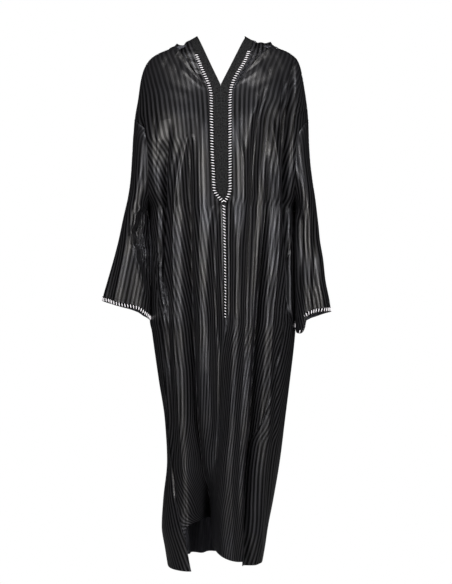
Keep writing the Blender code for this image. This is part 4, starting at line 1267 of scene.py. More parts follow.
def arc(grid):
    """Distance along each row, from its first column."""
    steps = np.linalg.norm(np.diff(grid, axis=1), axis=-1)
    return np.concatenate([np.zeros((len(grid), 1)), np.cumsum(steps, axis=1)], axis=1)


def fall(grid):
    """Distance down each column, from the first row."""
    steps = np.linalg.norm(np.diff(grid, axis=0), axis=-1)
    return np.concatenate([np.zeros((1, grid.shape[1])), np.cumsum(steps, axis=0)], axis=0)


def spaced(rows, step):
    """Heights between the first and the last of some rows, evenly spaced."""
    count = int(np.ceil((rows[0] - rows[-1]) / step))
    return np.linspace(rows[0], rows[-1], count + 1)


def edged(count, near=(0.004, 0.009, 0.016)):
    """Shares from 0 to 1 with a few more columns close to both ends."""
    near = list(near)
    inner = np.linspace(near[-1], 1 - near[-1], count)[1:-1]
    return np.array([0] + near + list(inner) + [1 - n for n in near[::-1]] + [1])


# ---------------------------------------------------------------- materials
def new_material(name):
    made = bpy.data.materials.new(name)
    made.use_nodes = True
    tree = made.node_tree
    return made, tree, tree.nodes["Principled BSDF"]


def node(tree, kind, **given):
    made = tree.nodes.new(kind)
    for key, value in given.items():
        if key.startswith("in_"):
            name = key[3:]
            made.inputs[int(name) if name.isdigit() else name].default_value = value
        else:
            setattr(made, key, value)
    return made


def maths(tree, kind, a, b=None, c=None):
    made = tree.nodes.new("ShaderNodeMath")
    made.operation = kind
    for i, value in enumerate((a, b, c)):
        if value is None:
            continue
        if isinstance(value, (int, float)):
            made.inputs[i].default_value = value
        else:
            tree.links.new(value, made.inputs[i])
    return made.outputs[0]


def ramp(tree, factor, stops, interpolation="LINEAR"):
    made = tree.nodes.new("ShaderNodeValToRGB")
    made.color_ramp.interpolation = interpolation
    while len(made.color_ramp.elements) < len(stops):
        made.color_ramp.elements.new(0.5)
    for element, (at, value) in zip(made.color_ramp.elements, stops):
        element.position = at
        element.color = (*value, 1) if isinstance(value, tuple) else (value, value, value, 1)
    tree.links.new(factor, made.inputs[0])
    return made.outputs[0]


def mixed(tree, factor, a, b):
    made = tree.nodes.new("ShaderNodeMix")
    made.data_type = "RGBA"
    for socket, value in ((made.inputs[0], factor), (made.inputs[6], a), (made.inputs[7], b)):
        if isinstance(value, (int, float)):
            socket.default_value = value
        elif isinstance(value, tuple):
            socket.default_value = (*value, 1)
        else:
            tree.links.new(value, socket)
    return made.outputs[2]


STRIPE = 0.0120  # one matte and one satin stripe


def striped_cloth(name, satin=(0.0520, 0.0508, 0.0560), matte=(0.0018, 0.0018, 0.0021)):
    """Black cloth with paler, glossier stripes woven along its length."""
    made, tree, shader = new_material(name)
    uv = node(tree, "ShaderNodeUVMap", uv_map="cloth")
    split = node(tree, "ShaderNodeSeparateXYZ")
    tree.links.new(uv.outputs[0], split.inputs[0])
    u, v = split.outputs[0], split.outputs[1]
    # A slow waver keeps the stripes from being ruled lines.
    drift = node(tree, "ShaderNodeTexNoise", in_Scale=7.0, in_Detail=2.0)
    tree.links.new(uv.outputs[0], drift.inputs["Vector"])
    wander = maths(tree, "MULTIPLY", maths(tree, "SUBTRACT", drift.outputs[0], 0.5), 0.0020)
    across = maths(tree, "ADD", u, wander)
    turn = maths(tree, "FRACT", maths(tree, "DIVIDE", across, STRIPE))
    wide = ramp(tree, turn, [(0.0, 0.0), (0.20, 0.0), (0.32, 1.0), (0.64, 1.0), (0.76, 0.0), (1.0, 0.0)])
    # Now and then a thin line beside it.
    double = maths(tree, "FRACT", maths(tree, "DIVIDE", across, STRIPE * 3))
    thin = ramp(tree, double, [(0.0, 0.0), (0.025, 0.0), (0.040, 0.35), (0.060, 0.35), (0.075, 0.0), (1.0, 0.0)])
    stripe = maths(tree, "MAXIMUM", wide, thin)
    # Fine warp lines along the stripes, and streaks of wear over them.
    lines = node(tree, "ShaderNodeMapping", in_Scale=(900.0, 14.0, 1.0))
    tree.links.new(uv.outputs[0], lines.inputs[0])
    warp = node(tree, "ShaderNodeTexNoise", in_Scale=1.0, in_Detail=2.0)
    tree.links.new(lines.outputs[0], warp.inputs["Vector"])
    broad = node(tree, "ShaderNodeMapping", in_Scale=(160.0, 4.0, 1.0))
    tree.links.new(uv.outputs[0], broad.inputs[0])
    streak = node(tree, "ShaderNodeTexNoise", in_Scale=1.0, in_Detail=3.0)
    tree.links.new(broad.outputs[0], streak.inputs["Vector"])
    level = maths(tree, "MULTIPLY_ADD", streak.outputs[0], 0.4, 0.75)
    strength = maths(tree, "MULTIPLY", stripe, level)
    # The stripes stand out less where the cloth lies stretched over the shoulders.
    worn = ramp(tree, maths(tree, "MULTIPLY", maths(tree, "ABSOLUTE", v), 4.0), [(0.0, 1.0), (0.30, 1.0), (0.78, 0.0), (1.0, 0.0)])
    strength = maths(tree, "ADD", maths(tree, "MULTIPLY", strength, maths(tree, "MULTIPLY_ADD", worn, -0.55, 1.0)), maths(tree, "MULTIPLY", worn, 0.24))
    colour = mixed(tree, strength, matte, satin)
    tree.links.new(colour, shader.inputs["Base Color"])
    rough = maths(tree, "MULTIPLY_ADD", strength, -0.02, 0.315)
    rough = maths(tree, "MULTIPLY_ADD", warp.outputs[0], 0.08, rough)
    tree.links.new(rough, shader.inputs["Roughness"])
    gloss = maths(tree, "MULTIPLY_ADD", streak.outputs[0], 0.36, 0.26)
    kept = maths(tree, "MULTIPLY_ADD", strength, 0.56, 0.40)
    gloss = maths(tree, "MULTIPLY", gloss, kept)
    tree.links.new(gloss, shader.inputs["Specular IOR Level"])
    shader.inputs["IOR"].default_value = 1.8
    shader.inputs["Sheen Weight"].default_value = 0.01
    shader.inputs["Sheen Roughness"].default_value = 0.4
    # The gloss is a little warmer in places and a little bluer in others.
    hue = node(tree, "ShaderNodeTexNoise", in_Scale=6.0, in_Detail=2.0)
    tree.links.new(uv.outputs[0], hue.inputs["Vector"])
    tint = ramp(tree, hue.outputs[0], [(0.0, (1.0, 0.965, 0.93)), (0.42, (1.0, 0.965, 0.93)), (0.58, (0.93, 0.93, 1.0)), (1.0, (0.93, 0.93, 1.0))])
    tree.links.new(tint, shader.inputs["Specular Tint"])
    shader.inputs["Sheen Tint"].default_value = (0.80, 0.80, 1.0, 1)
    # Weave: threads across and along, and the satin stripes a little raised.
    weft = maths(tree, "SINE", maths(tree, "MULTIPLY", v, 2 * np.pi / 0.0011))
    thread = maths(tree, "SINE", maths(tree, "MULTIPLY", u, 2 * np.pi / 0.0009))
    weave = maths(tree, "MULTIPLY", maths(tree, "MULTIPLY", weft, thread), 0.05)
    height = maths(tree, "ADD", maths(tree, "MULTIPLY", stripe, 0.35), weave)
    height = maths(tree, "ADD", height, maths(tree, "MULTIPLY", warp.outputs[0], 0.18))
    bump = node(tree, "ShaderNodeBump", in_Strength=0.55, in_Distance=0.0006)
    tree.links.new(height, bump.inputs["Height"])
    tree.links.new(bump.outputs[0], shader.inputs["Normal"])
    return made


def inner_cloth(name):
    """The wrong side of the same cloth: matte and a little blue, and painted far paler than the face: painted light
    that lifts the inside, which lies in shade.
    """
    made, tree, shader = new_material(name)
    uv = node(tree, "ShaderNodeUVMap", uv_map="cloth")
    split = node(tree, "ShaderNodeSeparateXYZ")
    tree.links.new(uv.outputs[0], split.inputs[0])
    turn = maths(tree, "FRACT", maths(tree, "DIVIDE", split.outputs[0], STRIPE))
    stripe = ramp(tree, turn, [(0.0, 0.0), (0.30, 0.0), (0.42, 1.0), (0.74, 1.0), (0.86, 0.0), (1.0, 0.0)])
    cloud = node(tree, "ShaderNodeTexNoise", in_Scale=60.0, in_Detail=3.0)
    tree.links.new(uv.outputs[0], cloud.inputs["Vector"])
    factor = maths(tree, "MULTIPLY_ADD", cloud.outputs[0], 0.4, maths(tree, "MULTIPLY", stripe, 0.35))
    # painted light: these pale greys stand in for light inside the robe, where there is only shade; the blue tint
    # and the cloud are the cloth's own
    tree.links.new(mixed(tree, factor, (0.120, 0.120, 0.138), (0.215, 0.215, 0.248)), shader.inputs["Base Color"])
    shader.inputs["Roughness"].default_value = 0.78
    shader.inputs["Specular IOR Level"].default_value = 0.2
    bump = node(tree, "ShaderNodeBump", in_Strength=0.4, in_Distance=0.0005)
    weft = maths(tree, "SINE", maths(tree, "MULTIPLY", split.outputs[1], 2 * np.pi / 0.0011))
    tree.links.new(maths(tree, "ADD", maths(tree, "MULTIPLY", weft, 0.1), cloud.outputs[0]), bump.inputs["Height"])
    tree.links.new(bump.outputs[0], shader.inputs["Normal"])
    return made


def grosgrain(name):
    """Ribbed matte band, its ribs across it."""
    made, tree, shader = new_material(name)
    uv = node(tree, "ShaderNodeUVMap", uv_map="cloth")
    split = node(tree, "ShaderNodeSeparateXYZ")
    tree.links.new(uv.outputs[0], split.inputs[0])
    rib = maths(tree, "SINE", maths(tree, "MULTIPLY", split.outputs[1], 2 * np.pi / 0.0016))
    cloud = node(tree, "ShaderNodeTexNoise", in_Scale=90.0, in_Detail=3.0)
    tree.links.new(uv.outputs[0], cloud.inputs["Vector"])
    fleck = node(tree, "ShaderNodeTexNoise", in_Scale=230.0, in_Detail=2.0)
    tree.links.new(uv.outputs[0], fleck.inputs["Vector"])
    factor = maths(tree, "MULTIPLY_ADD", rib, 0.18, maths(tree, "MULTIPLY_ADD", fleck.outputs[0], 3.0, -1.1))
    factor = maths(tree, "MULTIPLY_ADD", cloud.outputs[0], 0.4, factor)
    tree.links.new(mixed(tree, factor, (0.001, 0.001, 0.0012), (0.040, 0.040, 0.041)), shader.inputs["Base Color"])
    shader.inputs["Roughness"].default_value = 0.62
    shader.inputs["Specular IOR Level"].default_value = 0.22
    bump = node(tree, "ShaderNodeBump", in_Strength=0.5, in_Distance=0.0005)
    tree.links.new(rib, bump.inputs["Height"])
    tree.links.new(bump.outputs[0], shader.inputs["Normal"])
    return made


def silver_thread_painted_glow(name):
    made, tree, shader = new_material(name)
    at = node(tree, "ShaderNodeTexCoord")
    grain = node(tree, "ShaderNodeTexNoise", in_Scale=700.0, in_Detail=2.0)
    tree.links.new(at.outputs["Object"], grain.inputs["Vector"])
    tree.links.new(mixed(tree, grain.outputs[0], (0.86, 0.85, 0.87), (1.0, 1.0, 1.0)), shader.inputs["Base Color"])
    shader.inputs["Roughness"].default_value = 0.34
    shader.inputs["Specular IOR Level"].default_value = 0.8
    # The thread glows a little: painted light, standing in for the lamps lighting the silver strands.
    shader.inputs["Emission Color"].default_value = (1.0, 0.95, 0.98, 1)
    shader.inputs["Emission Strength"].default_value = 0.60
    bump = node(tree, "ShaderNodeBump", in_Strength=0.4, in_Distance=0.0003)
    tree.links.new(grain.outputs[0], bump.inputs["Height"])
    tree.links.new(bump.outputs[0], shader.inputs["Normal"])
    return made


def plain(name, colour, roughness, gloss=0.3):
    made, tree, shader = new_material(name)
    at = node(tree, "ShaderNodeTexCoord")
    grain = node(tree, "ShaderNodeTexNoise", in_Scale=400.0, in_Detail=2.0)
    tree.links.new(at.outputs["Object"], grain.inputs["Vector"])
    light = tuple(min(1, c * 1.5) for c in colour)
    dark = tuple(c * 0.6 for c in colour)
    tree.links.new(mixed(tree, grain.outputs[0], dark, light), shader.inputs["Base Color"])
    shader.inputs["Roughness"].default_value = roughness
    shader.inputs["Specular IOR Level"].default_value = gloss
    return made


# ---------------------------------------------------------------- meshes
def sheet_mesh(name, grid, cloth, materials, wall=0.0010, tube_from=None, flip=False):
    """A thickened sheet from a grid of points and its cloth coordinates. From row
    tube_from on, its two sides join."""
    if flip:
        grid, cloth = grid[:, ::-1], cloth[:, ::-1]
    rows, cols = grid.shape[:2]
    normal = outer_normal(grid, -1)
    if tube_from is not None:
        both = unit(normal[tube_from:, 0] + normal[tube_from:, -1])
        normal[tube_from:, 0] = normal[tube_from:, -1] = both
    inner = grid - normal * wall
    points = np.concatenate([grid.reshape(-1, 3), inner.reshape(-1, 3)])
    n = rows * cols
    index = np.arange(n).reshape(rows, cols)
    if tube_from is not None:
        index[tube_from:, -1] = index[tube_from:, 0]
    a, b = index[:-1, :-1].ravel(), index[1:, :-1].ravel()
    c, d = index[1:, 1:].ravel(), index[:-1, 1:].ravel()
    outer_faces = np.stack([a, b, c, d], 1)
    own = np.arange(n).reshape(rows, cols)
    corners = np.stack([own[:-1, :-1].ravel(), own[1:, :-1].ravel(), own[1:, 1:].ravel(), own[:-1, 1:].ravel()], 1)
    inner_faces = outer_faces[:, ::-1] + n
    open_rows = slice(0, rows if tube_from is None else tube_from + 1)
    rims, rim_corners = [], []
    for line, mine, turned in (
        (index[0], own[0], True),
        (index[-1], own[-1], False),
        (index[open_rows, 0], own[open_rows, 0], False),
        (index[open_rows, -1], own[open_rows, -1], True),
    ):
        for source, kept, lift in ((line, rims, n), (mine, rim_corners, 0)):
            p, q = source[:-1], source[1:]
            quad = np.stack([p, q, q + lift, p + lift], 1)
            kept.append(quad if turned else quad[:, ::-1])
    rim_faces = np.concatenate(rims)
    faces = np.concatenate([outer_faces, inner_faces, rim_faces])
    coordinate = np.concatenate([corners, corners[:, ::-1], np.concatenate(rim_corners)])
    used = np.zeros(2 * n, bool)
    used[faces.ravel()] = True
    renamed = np.cumsum(used) - 1
    points, faces = points[used], renamed[faces]
    mesh = bpy.data.meshes.new(name)
    mesh.vertices.add(len(points))
    mesh.vertices.foreach_set("co", points.astype(np.float32).ravel())
    mesh.loops.add(faces.size)
    mesh.loops.foreach_set("vertex_index", faces.astype(np.int32).ravel())
    mesh.polygons.add(len(faces))
    mesh.polygons.foreach_set("loop_start", np.arange(0, faces.size, 4, dtype=np.int32))
    mesh.update(calc_edges=True)
    layer = mesh.uv_layers.new(name="cloth")
    layer.data.foreach_set("uv", cloth.reshape(-1, 2)[coordinate.ravel()].astype(np.float32).ravel())
    which = np.zeros(len(faces), np.int32)
    which[len(outer_faces) : len(outer_faces) + len(inner_faces)] = 1
    for m in materials:
        mesh.materials.append(m)
    mesh.polygons.foreach_set("material_index", which)
    mesh.polygons.foreach_set("use_smooth", np.ones(len(faces), bool))
    # The rim's edges are sharp, so that the face of the cloth isn't shaded by them.
    loop_edges = np.zeros(len(mesh.loops), np.int32)
    mesh.loops.foreach_get("edge_index", loop_edges)
    flags = np.zeros(len(mesh.edges), bool)
    flags[loop_edges[-4 * len(rim_faces) :]] = True
    mesh.attributes.new("sharp_edge", "BOOLEAN", "EDGE").data.foreach_set("value", flags)
    made = bpy.data.objects.new(name, mesh)
    bpy.context.scene.collection.objects.link(made)
    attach(made, "root")
    return made


def sheet_area(grid):
    a, b, c, d = grid[:-1, :-1], grid[1:, :-1], grid[1:, 1:], grid[:-1, 1:]
    one = np.linalg.norm(np.cross(b - a, c - a), axis=-1) / 2
    two = np.linalg.norm(np.cross(c - a, d - a), axis=-1) / 2
    return float((one + two).sum())


STRIPED = striped_cloth("striped_cloth")
INSIDE_WITH_PAINTED_LIGHT = inner_cloth("cloth_inside_painted_light")
RIBBED = grosgrain("grosgrain_band")
SILVER_THREAD_PAINTED_GLOW = silver_thread_painted_glow("silver_thread_painted_glow")
DARK_CORD = plain("braid_edge", (0.002, 0.002, 0.0024), 0.8, 0.05)

fine_rows = spaced([ROWS[0], UNDERARM_Z], 0.0052)
fine_skirt = spaced([UNDERARM_Z - 0.0052, -1.28], 0.0056)
FINE_HEM = 24

# How far the stripes have leaned out by each height, in metres: near the placket,
# half way and at the outer edge. Right and left are the wearer's.
LEAN = {
    side: columns(
        "z inner middle outer",
        [
            (0.030, 0.040, 0.062, 0.092),
            (0.000, 0.030, 0.050, 0.078),
            (-0.050, 0.014, 0.033, 0.062),
            (-0.100, 0.003, 0.020, 0.048),
            (-0.150, 0.000, 0.010, 0.036),
            (-0.220, 0.000, 0.003, 0.030),
            (-0.320, 0.000, 0.000, 0.012),
            (-0.420, 0.000, 0.000, 0.002),
            (-0.520, 0.000, 0.000, 0.000),
            *below[side],
        ],
    )
    for below in [
        {
            -1: [(-0.600, -0.002, -0.006, -0.009), (-0.700, -0.007, -0.026, -0.034), (-0.870, -0.016, -0.070, -0.082), (-1.030, -0.024, -0.100, -0.116), (-1.200, -0.028, -0.118, -0.136), (-1.330, -0.028, -0.118, -0.136), (-1.500, -0.026, -0.098, -0.106)],
            1: [(-0.600, 0.000, -0.004, -0.007), (-0.700, -0.001, -0.018, -0.026), (-0.870, -0.005, -0.048, -0.062), (-1.030, -0.008, -0.076, -0.100), (-1.200, -0.010, -0.098, -0.126), (-1.500, -0.012, -0.122, -0.162)],
        }
    ]
    for side in (-1, 1)
}


def leaning(side, grid, distance):
    """The cloth coordinate across the stripes, from the distance out from the centre."""
    table = LEAN[side]
    z = grid[..., 2]
    inner, middle, outer = (read(table, k, z) for k in ("inner", "middle", "outer"))
    t = np.clip(distance / 0.26, 0, 1)
    leaned = np.where(t < 0.5, inner + (middle - inner) * t * 2, middle + (outer - middle) * (t * 2 - 1))
    return distance - leaned


def centre_gap(side, z):
    """From the front's inner edge to the centre line, where the placket lies between."""
    centre = read(CENTRE, "x", np.minimum(z, CENTRE["z"][0]))
    return np.abs(inner_edge(side, z) - centre)


# How far round the front its middle columns reach, in degrees. The columns
# beyond them close up or spread to follow the outer edge.
REACH = {
    -1: columns("z angle", [(0.030, 46), (-0.300, 45), (-0.420, 47), (-0.500, 54), (-0.560, 55), (-0.620, 52), (-0.690, 48), (-0.820, 45), (-0.950, 48), (-1.050, 54), (-1.120, 53), (-1.250, 40), (-1.320, 33), (-1.450, 27)]),
    1: columns("z angle", [(0.030, 46), (-0.300, 45), (-0.420, 47), (-0.500, 54), (-0.560, 55), (-0.620, 52), (-0.690, 49), (-0.820, 43), (-0.950, 36), (-1.050, 28), (-1.120, 23), (-1.250, 25), (-1.450, 25)]),
}
OUTER_SHARE = 0.31


def fine_front(side, levels, hem_rows, share):
    """One half of the front, its middle columns steady where the outer edge turns."""
    levels = np.array(levels)
    z = np.repeat(levels[:, None], len(share), 1)
    last = levels[-1]
    name = "left" if side < 0 else "right"
    foot = read(SIDE_SEAM, name, -1.40) * (1 - share) + read(CENTRE, "x", -1.40) * share
    drop = read(FRONT_HEM, "z", foot, "x") - last
    steps = np.arange(1, hem_rows + 1)[:, None] / hem_rows
    z = np.vstack([z, last + steps * drop])
    outer = outer_edge(side, z)
    inner = turn_of(inner_edge(side, z), z)
    reach = side * np.minimum(np.radians(read(REACH[side], "angle", z)), 0.9 * np.abs(outer))
    beyond = outer + (reach - outer) * share / OUTER_SHARE
    within = reach + (inner - reach) * (share - OUTER_SHARE) / (1 - OUTER_SHARE)
    return body_point(np.where(share < OUTER_SHARE, beyond, within), z, -1)


pieces = {}
SIDE_NAME = {-1: "right", 1: "left"}
share = edged(136)
extra = SHOULDER_END_Z - np.array([0.0002, 0.0006, 0.0012, 0.0021, 0.0033, 0.0070, 0.0090, 0.0130])
front_rows = np.array(sorted(set(np.round(np.concatenate([fine_rows, [SHOULDER_END_Z], extra, fine_skirt]), 5)), reverse=True))
for side in (-1, 1):
    grid = fine_front(side, front_rows, FINE_HEM, share)
    # normal that points out of the body
    flip = side > 0
    normal = outer_normal(grid, -1 if side < 0 else 1)
    push = crease_push("front_" + SIDE_NAME[side], grid[..., 0], grid[..., 2])
    grid = grid - normal * push[..., None]
    out = arc(grid)
    from_centre = out[:, -1:] - out + centre_gap(side, grid[:, -1:, 2])
    # puckers along the side seam and the armhole, and gathers beside the neck
    z = grid[..., 2]
    to_neck = out[:, -1:] - out
    gathers = wave(-z - to_neck * 0.7, 2 * np.pi / 0.0125, 1.3 + side) * 0.0010 * np.exp(-((to_neck / 0.020) ** 2)) * ease((z + 0.140) / 0.03)
    seam = ease((UNDERARM_Z - 0.02 - z) / 0.05) * ease((z - SLIT_TOP_Z) / 0.04)
    hips = ease((z + 0.80) / 0.10)
    tall, off = (0.0001 + 0.0028 * hips, 0.020) if side < 0 else (0.0001 + 0.0012 * hips, 0.014)
    bump = wave(-z, 2 * np.pi / 0.021, 0.7 + side) * tall * np.exp(-(((out - off) / 0.009) ** 2)) * seam
    armhole = ease((SHOULDER_END_Z - z) / 0.02) * (1 - ease((UNDERARM_Z - z) / 0.03))
    bump = bump + wave(-z, 2 * np.pi / 0.016, 2.1 + side) * 0.0005 * np.exp(-((out / 0.010) ** 2)) * armhole
    # each panel turns in a little at its seams
    turn_in = (0.0010 - 0.0008 * ease((-1.02 - z) / 0.10)) * np.exp(-((out / 0.0022) ** 2)) * (z > SLIT_TOP_Z)
    grid = grid + normal * (bump + gathers - turn_in)[..., None]
    cloth = np.stack([leaning(side, grid, from_centre), -grid[..., 2]], -1)
    name = "front_" + SIDE_NAME[side]
    made = sheet_mesh(name + "_cloth", grid, cloth, [STRIPED, INSIDE_WITH_PAINTED_LIGHT], flip=side > 0)
    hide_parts("front")
    pieces[name] = (made, sheet_area(grid))

# Back
spread_fine = np.concatenate([-edged(84)[::-1], edged(84)[1:]])
grid = back_panel(fine_rows, fine_skirt, FINE_HEM, spread_fine)
slit = SEAM_GAP + (0.0022 - SEAM_GAP) * (grid[:, 0, 2] < SLIT_TOP_Z + 0.02)
grid = trim(grid, slit, slit)
normal = outer_normal(grid, 1)
out = arc(grid)
left_out, right_out = out, out[:, -1:] - out
z = grid[..., 2]
bump = np.zeros_like(z)
for side, distance in ((-1, left_out), (1, right_out)):
    seam = ease((UNDERARM_Z - 0.02 - z) / 0.05) * ease((z - SLIT_TOP_Z) / 0.04)
    bump += wave(fall(grid), 2 * np.pi / 0.019, 1.9 + side) * 0.0010 * np.exp(-((distance / 0.012) ** 2)) * seam
    bump -= 0.0012 * np.exp(-((distance / 0.0022) ** 2)) * (z > SLIT_TOP_Z)
grid = grid + normal * bump[..., None]
half = out[:, -1:] / 2
cloth = np.stack([out - half, fall(grid)], -1)
made = sheet_mesh("back_cloth", grid, cloth, [STRIPED, INSIDE_WITH_PAINTED_LIGHT], flip=True)
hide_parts("back")
pieces["back"] = (made, sheet_area(grid))

# Sleeves
for side in (-1, 1):
    name = "sleeve_" + SIDE_NAME[side]
    share_s = edged(88, (0.006, 0.014))
    levels = np.concatenate([spaced([SHOULDER_END_Z - 0.0015, UNDERARM_Z + 0.001], 0.0055), spaced([UNDERARM_Z - 0.001, -0.640], 0.0055)])
    open_rows = int((levels > UNDERARM_Z).sum())
    halves = {}
    for face in (-1, 1):
        half_grid = sleeve_half(side, face, levels, 16, share_s)
        # the seam allowance turns in under the body
        seam = half_grid[:open_rows, -1]
        on = unit(seam - half_grid[:open_rows, -3])
        inward = unit(seam * np.array([-0.35, -1.0, 0.0]))
        half_grid[:open_rows, -2] = seam - on * 0.0004
        half_grid[:open_rows, -1] = seam + on * 0.0042 + inward * 0.0034
        halves[face] = half_grid
    # from the front seam round the outer side to the back seam
    grid = np.concatenate([halves[-1][:, ::-1], halves[1][:, 1:]], axis=1)
    middle = halves[-1].shape[1] - 1
    # it rests against the body below the arm
    x, z = np.abs(grid[..., 0]), grid[..., 2]
    lean_in = (0.0019 + 0.0015 * ease((z + 0.492) / 0.026)) * ease((0.240 - x) / 0.025) * (z < UNDERARM_Z)
    grid[..., 0] -= side * lean_in
    if side < 0:
        grid[..., 1] += sleeve_hollow(grid)
    normal = outer_normal(grid, 1 if side < 0 else -1)
    centre = grid.mean(axis=1, keepdims=True)
    if ((grid - centre) * normal).sum() < 0:
        normal = -normal
    out = arc(grid)
    u = out - out[:, middle : middle + 1]
    cloth = np.stack([u, fall(grid)], -1)
    made = sheet_mesh(name + "_cloth", grid, cloth, [STRIPED, INSIDE_WITH_PAINTED_LIGHT], tube_from=open_rows, flip=side < 0)
    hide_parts(name)
    pieces[name] = (made, sheet_area(grid))

# Hood
# Where its edge stands up or dips beside the neck: the place across, the half
# width and the height.
HOOD_EARS = [
    (-0.1080, 0.0065, -0.0105),
    (-0.1240, 0.0035, 0.0045),
    (0.1036, 0.0040, -0.0060),
    (0.1390, 0.0030, 0.0075),
]
turns = np.linspace(-np.pi / 2, np.pi / 2, 121)
fine_wedge = np.interp(np.linspace(0, 1, 33), np.linspace(0, 1, len(NECK_ROWS)), NECK_ROWS[::-1])
fine_rise = 0.020 * (np.linspace(0, 1, 33) * (len(NECK_ROWS) - 1) / len(NECK_ROWS)) ** 0.8
share_h = edged(70, (0.006, 0.014))
left = [hood_wedge(-1, z, r, share_h) for z, r in zip(fine_wedge, fine_rise)]
right = [hood_wedge(1, z, r, share_h) for z, r in zip(fine_wedge, fine_rise)]
grid = np.array(left[:-1] + [hood_rib(a, share_h) for a in turns] + right[:-1][::-1])
grid = trim(grid, 0.0006, 0)
x, z = grid[..., 0], grid[..., 2]
top = ease((z + 0.034) / 0.034)
for at, wide, lift in HOOD_EARS:
    grid[..., 2] += lift * np.exp(-(((x - at) / wide) ** 2)) * top
# gathers where it is sewn to the fronts and the back
normal = outer_normal(grid, 1)
across = arc(grid)
along = fall(grid)
gather = wave(along, 2 * np.pi / 0.0115, 0.4) * 0.0014 * np.exp(-((across / 0.016) ** 2))
gather += wave(along + across * 0.8, 2 * np.pi / 0.031, 1.7) * 0.0016 * np.exp(-(((across - 0.02) / 0.03) ** 2))
gather -= 0.0012 * np.exp(-((across / 0.0022) ** 2))
grid = grid + normal * gather[..., None]
half = along[-1:] / 2
cloth = np.stack([across[:, -1:] - across, along - half], -1)
made = sheet_mesh("hood_cloth", grid, cloth, [STRIPED, INSIDE_WITH_PAINTED_LIGHT], flip=True)
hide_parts("hood")
pieces["hood"] = (made, sheet_area(grid))

# Bands
climb_fine = np.concatenate([np.linspace(PLACKET_TIP[1] + 0.006, -0.139, 70), np.linspace(-0.134, 0.013, 50)])
for side in (-1, 1):
    name = "band_" + SIDE_NAME[side]
    angles = side * np.linspace(np.pi / 2, 0.004, 60)
    grid = band_grid(side, climb_fine, angles, np.linspace(0, 1, 9))
    grid = trim(grid, 0.0004, 0.0002)
    cloth = np.stack([arc(grid), fall(grid)], -1)
    made = sheet_mesh(name + "_cloth", grid, cloth, [RIBBED, RIBBED], wall=0.0012, flip=side < 0)
    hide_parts(name)
    pieces[name] = (made, sheet_area(grid))


# ---------------------------------------------------------------- braids
def capsule(rings=5, around=8):
    """A small rounded rod along X, one unit long and wide, as points and faces."""
    points, faces = [], []
    for i in range(rings + 1):
        t = -1 + 2 * i / rings
        r = (1 - abs(t) ** 2.6) ** 0.5 if abs(t) < 1 else 0.0
        for j in range(around):
            a = 2 * np.pi * j / around
            points.append((t * 0.5, 0.5 * max(r, 0.12) * np.cos(a), 0.5 * max(r, 0.12) * np.sin(a)))
    for i in range(rings):
        for j in range(around):
            k = (j + 1) % around
            faces.append((i * around + j, i * around + k, (i + 1) * around + k, (i + 1) * around + j))
    faces.append(tuple(range(around))[::-1])
    faces.append(tuple(rings * around + j for j in range(around)))
    return np.array(points), faces


def braid(name, line, up, width, node_name, pitch=0.0074, slant=64, taper=None):
    """Slanted wrapped strands along a line, over a dark flat cord."""
    line, up = np.array(line, float), unit(np.array(up, float))
    steps = np.concatenate([[0], np.cumsum(np.linalg.norm(np.diff(line, axis=0), axis=1))])
    count = int(steps[-1] / pitch)
    at = (np.arange(count) + 0.5) * steps[-1] / count
    where = np.stack([np.interp(at, steps, line[:, k]) for k in range(3)], -1)
    lift = unit(np.stack([np.interp(at, steps, up[:, k]) for k in range(3)], -1))
    ahead = unit(np.stack([np.interp(at + 0.002, steps, line[:, k]) - np.interp(at - 0.002, steps, line[:, k]) for k in range(3)], -1))
    across = unit(np.cross(lift, ahead))
    lift = np.cross(ahead, across)
    wide = np.full(count, width) if taper is None else np.interp(at / steps[-1], [0, 1], taper)
    shape, faces = capsule()
    points, all_faces, which = [], [], []
    c, s = np.cos(np.radians(slant)), np.sin(np.radians(slant))
    for i in range(count):
        long_way = across[i] * s + ahead[i] * c
        short_way = across[i] * c - ahead[i] * s
        length = wide[i] * 0.90 / s
        start = len(points) * len(shape)
        size = np.array([length, pitch * 0.30, pitch * 0.38])
        local = shape * size
        points.append(where[i] + lift[i] * 0.0010 + local[:, :1] * long_way + local[:, 1:2] * short_way + local[:, 2:] * lift[i])
        all_faces += [tuple(start + k for k in f) for f in faces]
        which += [0] * len(faces)
    base = sum(len(p) for p in points)
    points = np.concatenate(points)
    # The dark cord under the strands: a low rounded ribbon.
    n = len(line)
    ahead = unit(np.gradient(line, axis=0))
    side_way = unit(np.cross(up, ahead))
    half = np.full(n, width) if taper is None else np.interp(steps / steps[-1], [0, 1], taper)
    profile = [(-0.50, -0.0008), (-0.44, 0.0003), (-0.2, 0.0007), (0.2, 0.0007), (0.44, 0.0003), (0.50, -0.0008)]
    ring = np.stack([line + side_way * (half * a)[:, None] + up * b for a, b in profile], 1)
    ring_index = base + np.arange(n * len(profile)).reshape(n, len(profile))
    for i in range(n - 1):
        for j in range(len(profile)):
            k = (j + 1) % len(profile)
            all_faces.append((ring_index[i, j], ring_index[i, k], ring_index[i + 1, k], ring_index[i + 1, j]))
            which.append(1)
    all_faces.append(tuple(int(v) for v in ring_index[0][::-1]))
    all_faces.append(tuple(int(v) for v in ring_index[-1]))
    which += [1, 1]
    points = np.concatenate([points, ring.reshape(-1, 3)])
    mesh = bpy.data.meshes.new(name)
    mesh.from_pydata(points.tolist(), [], [tuple(int(v) for v in f) for f in all_faces])
    mesh.materials.append(SILVER_THREAD_PAINTED_GLOW)
    mesh.materials.append(DARK_CORD)
    mesh.polygons.foreach_set("material_index", np.array(which, np.int32))
    mesh.shade_smooth()
    form = bmesh.new()
    form.from_mesh(mesh)
    bmesh.ops.recalc_face_normals(form, faces=form.faces)
    form.to_mesh(mesh)
    form.free()
    made = bpy.data.objects.new(name, mesh)
    bpy.context.scene.collection.objects.link(made)
    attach(made, "root")
    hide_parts(node_name)
    return made


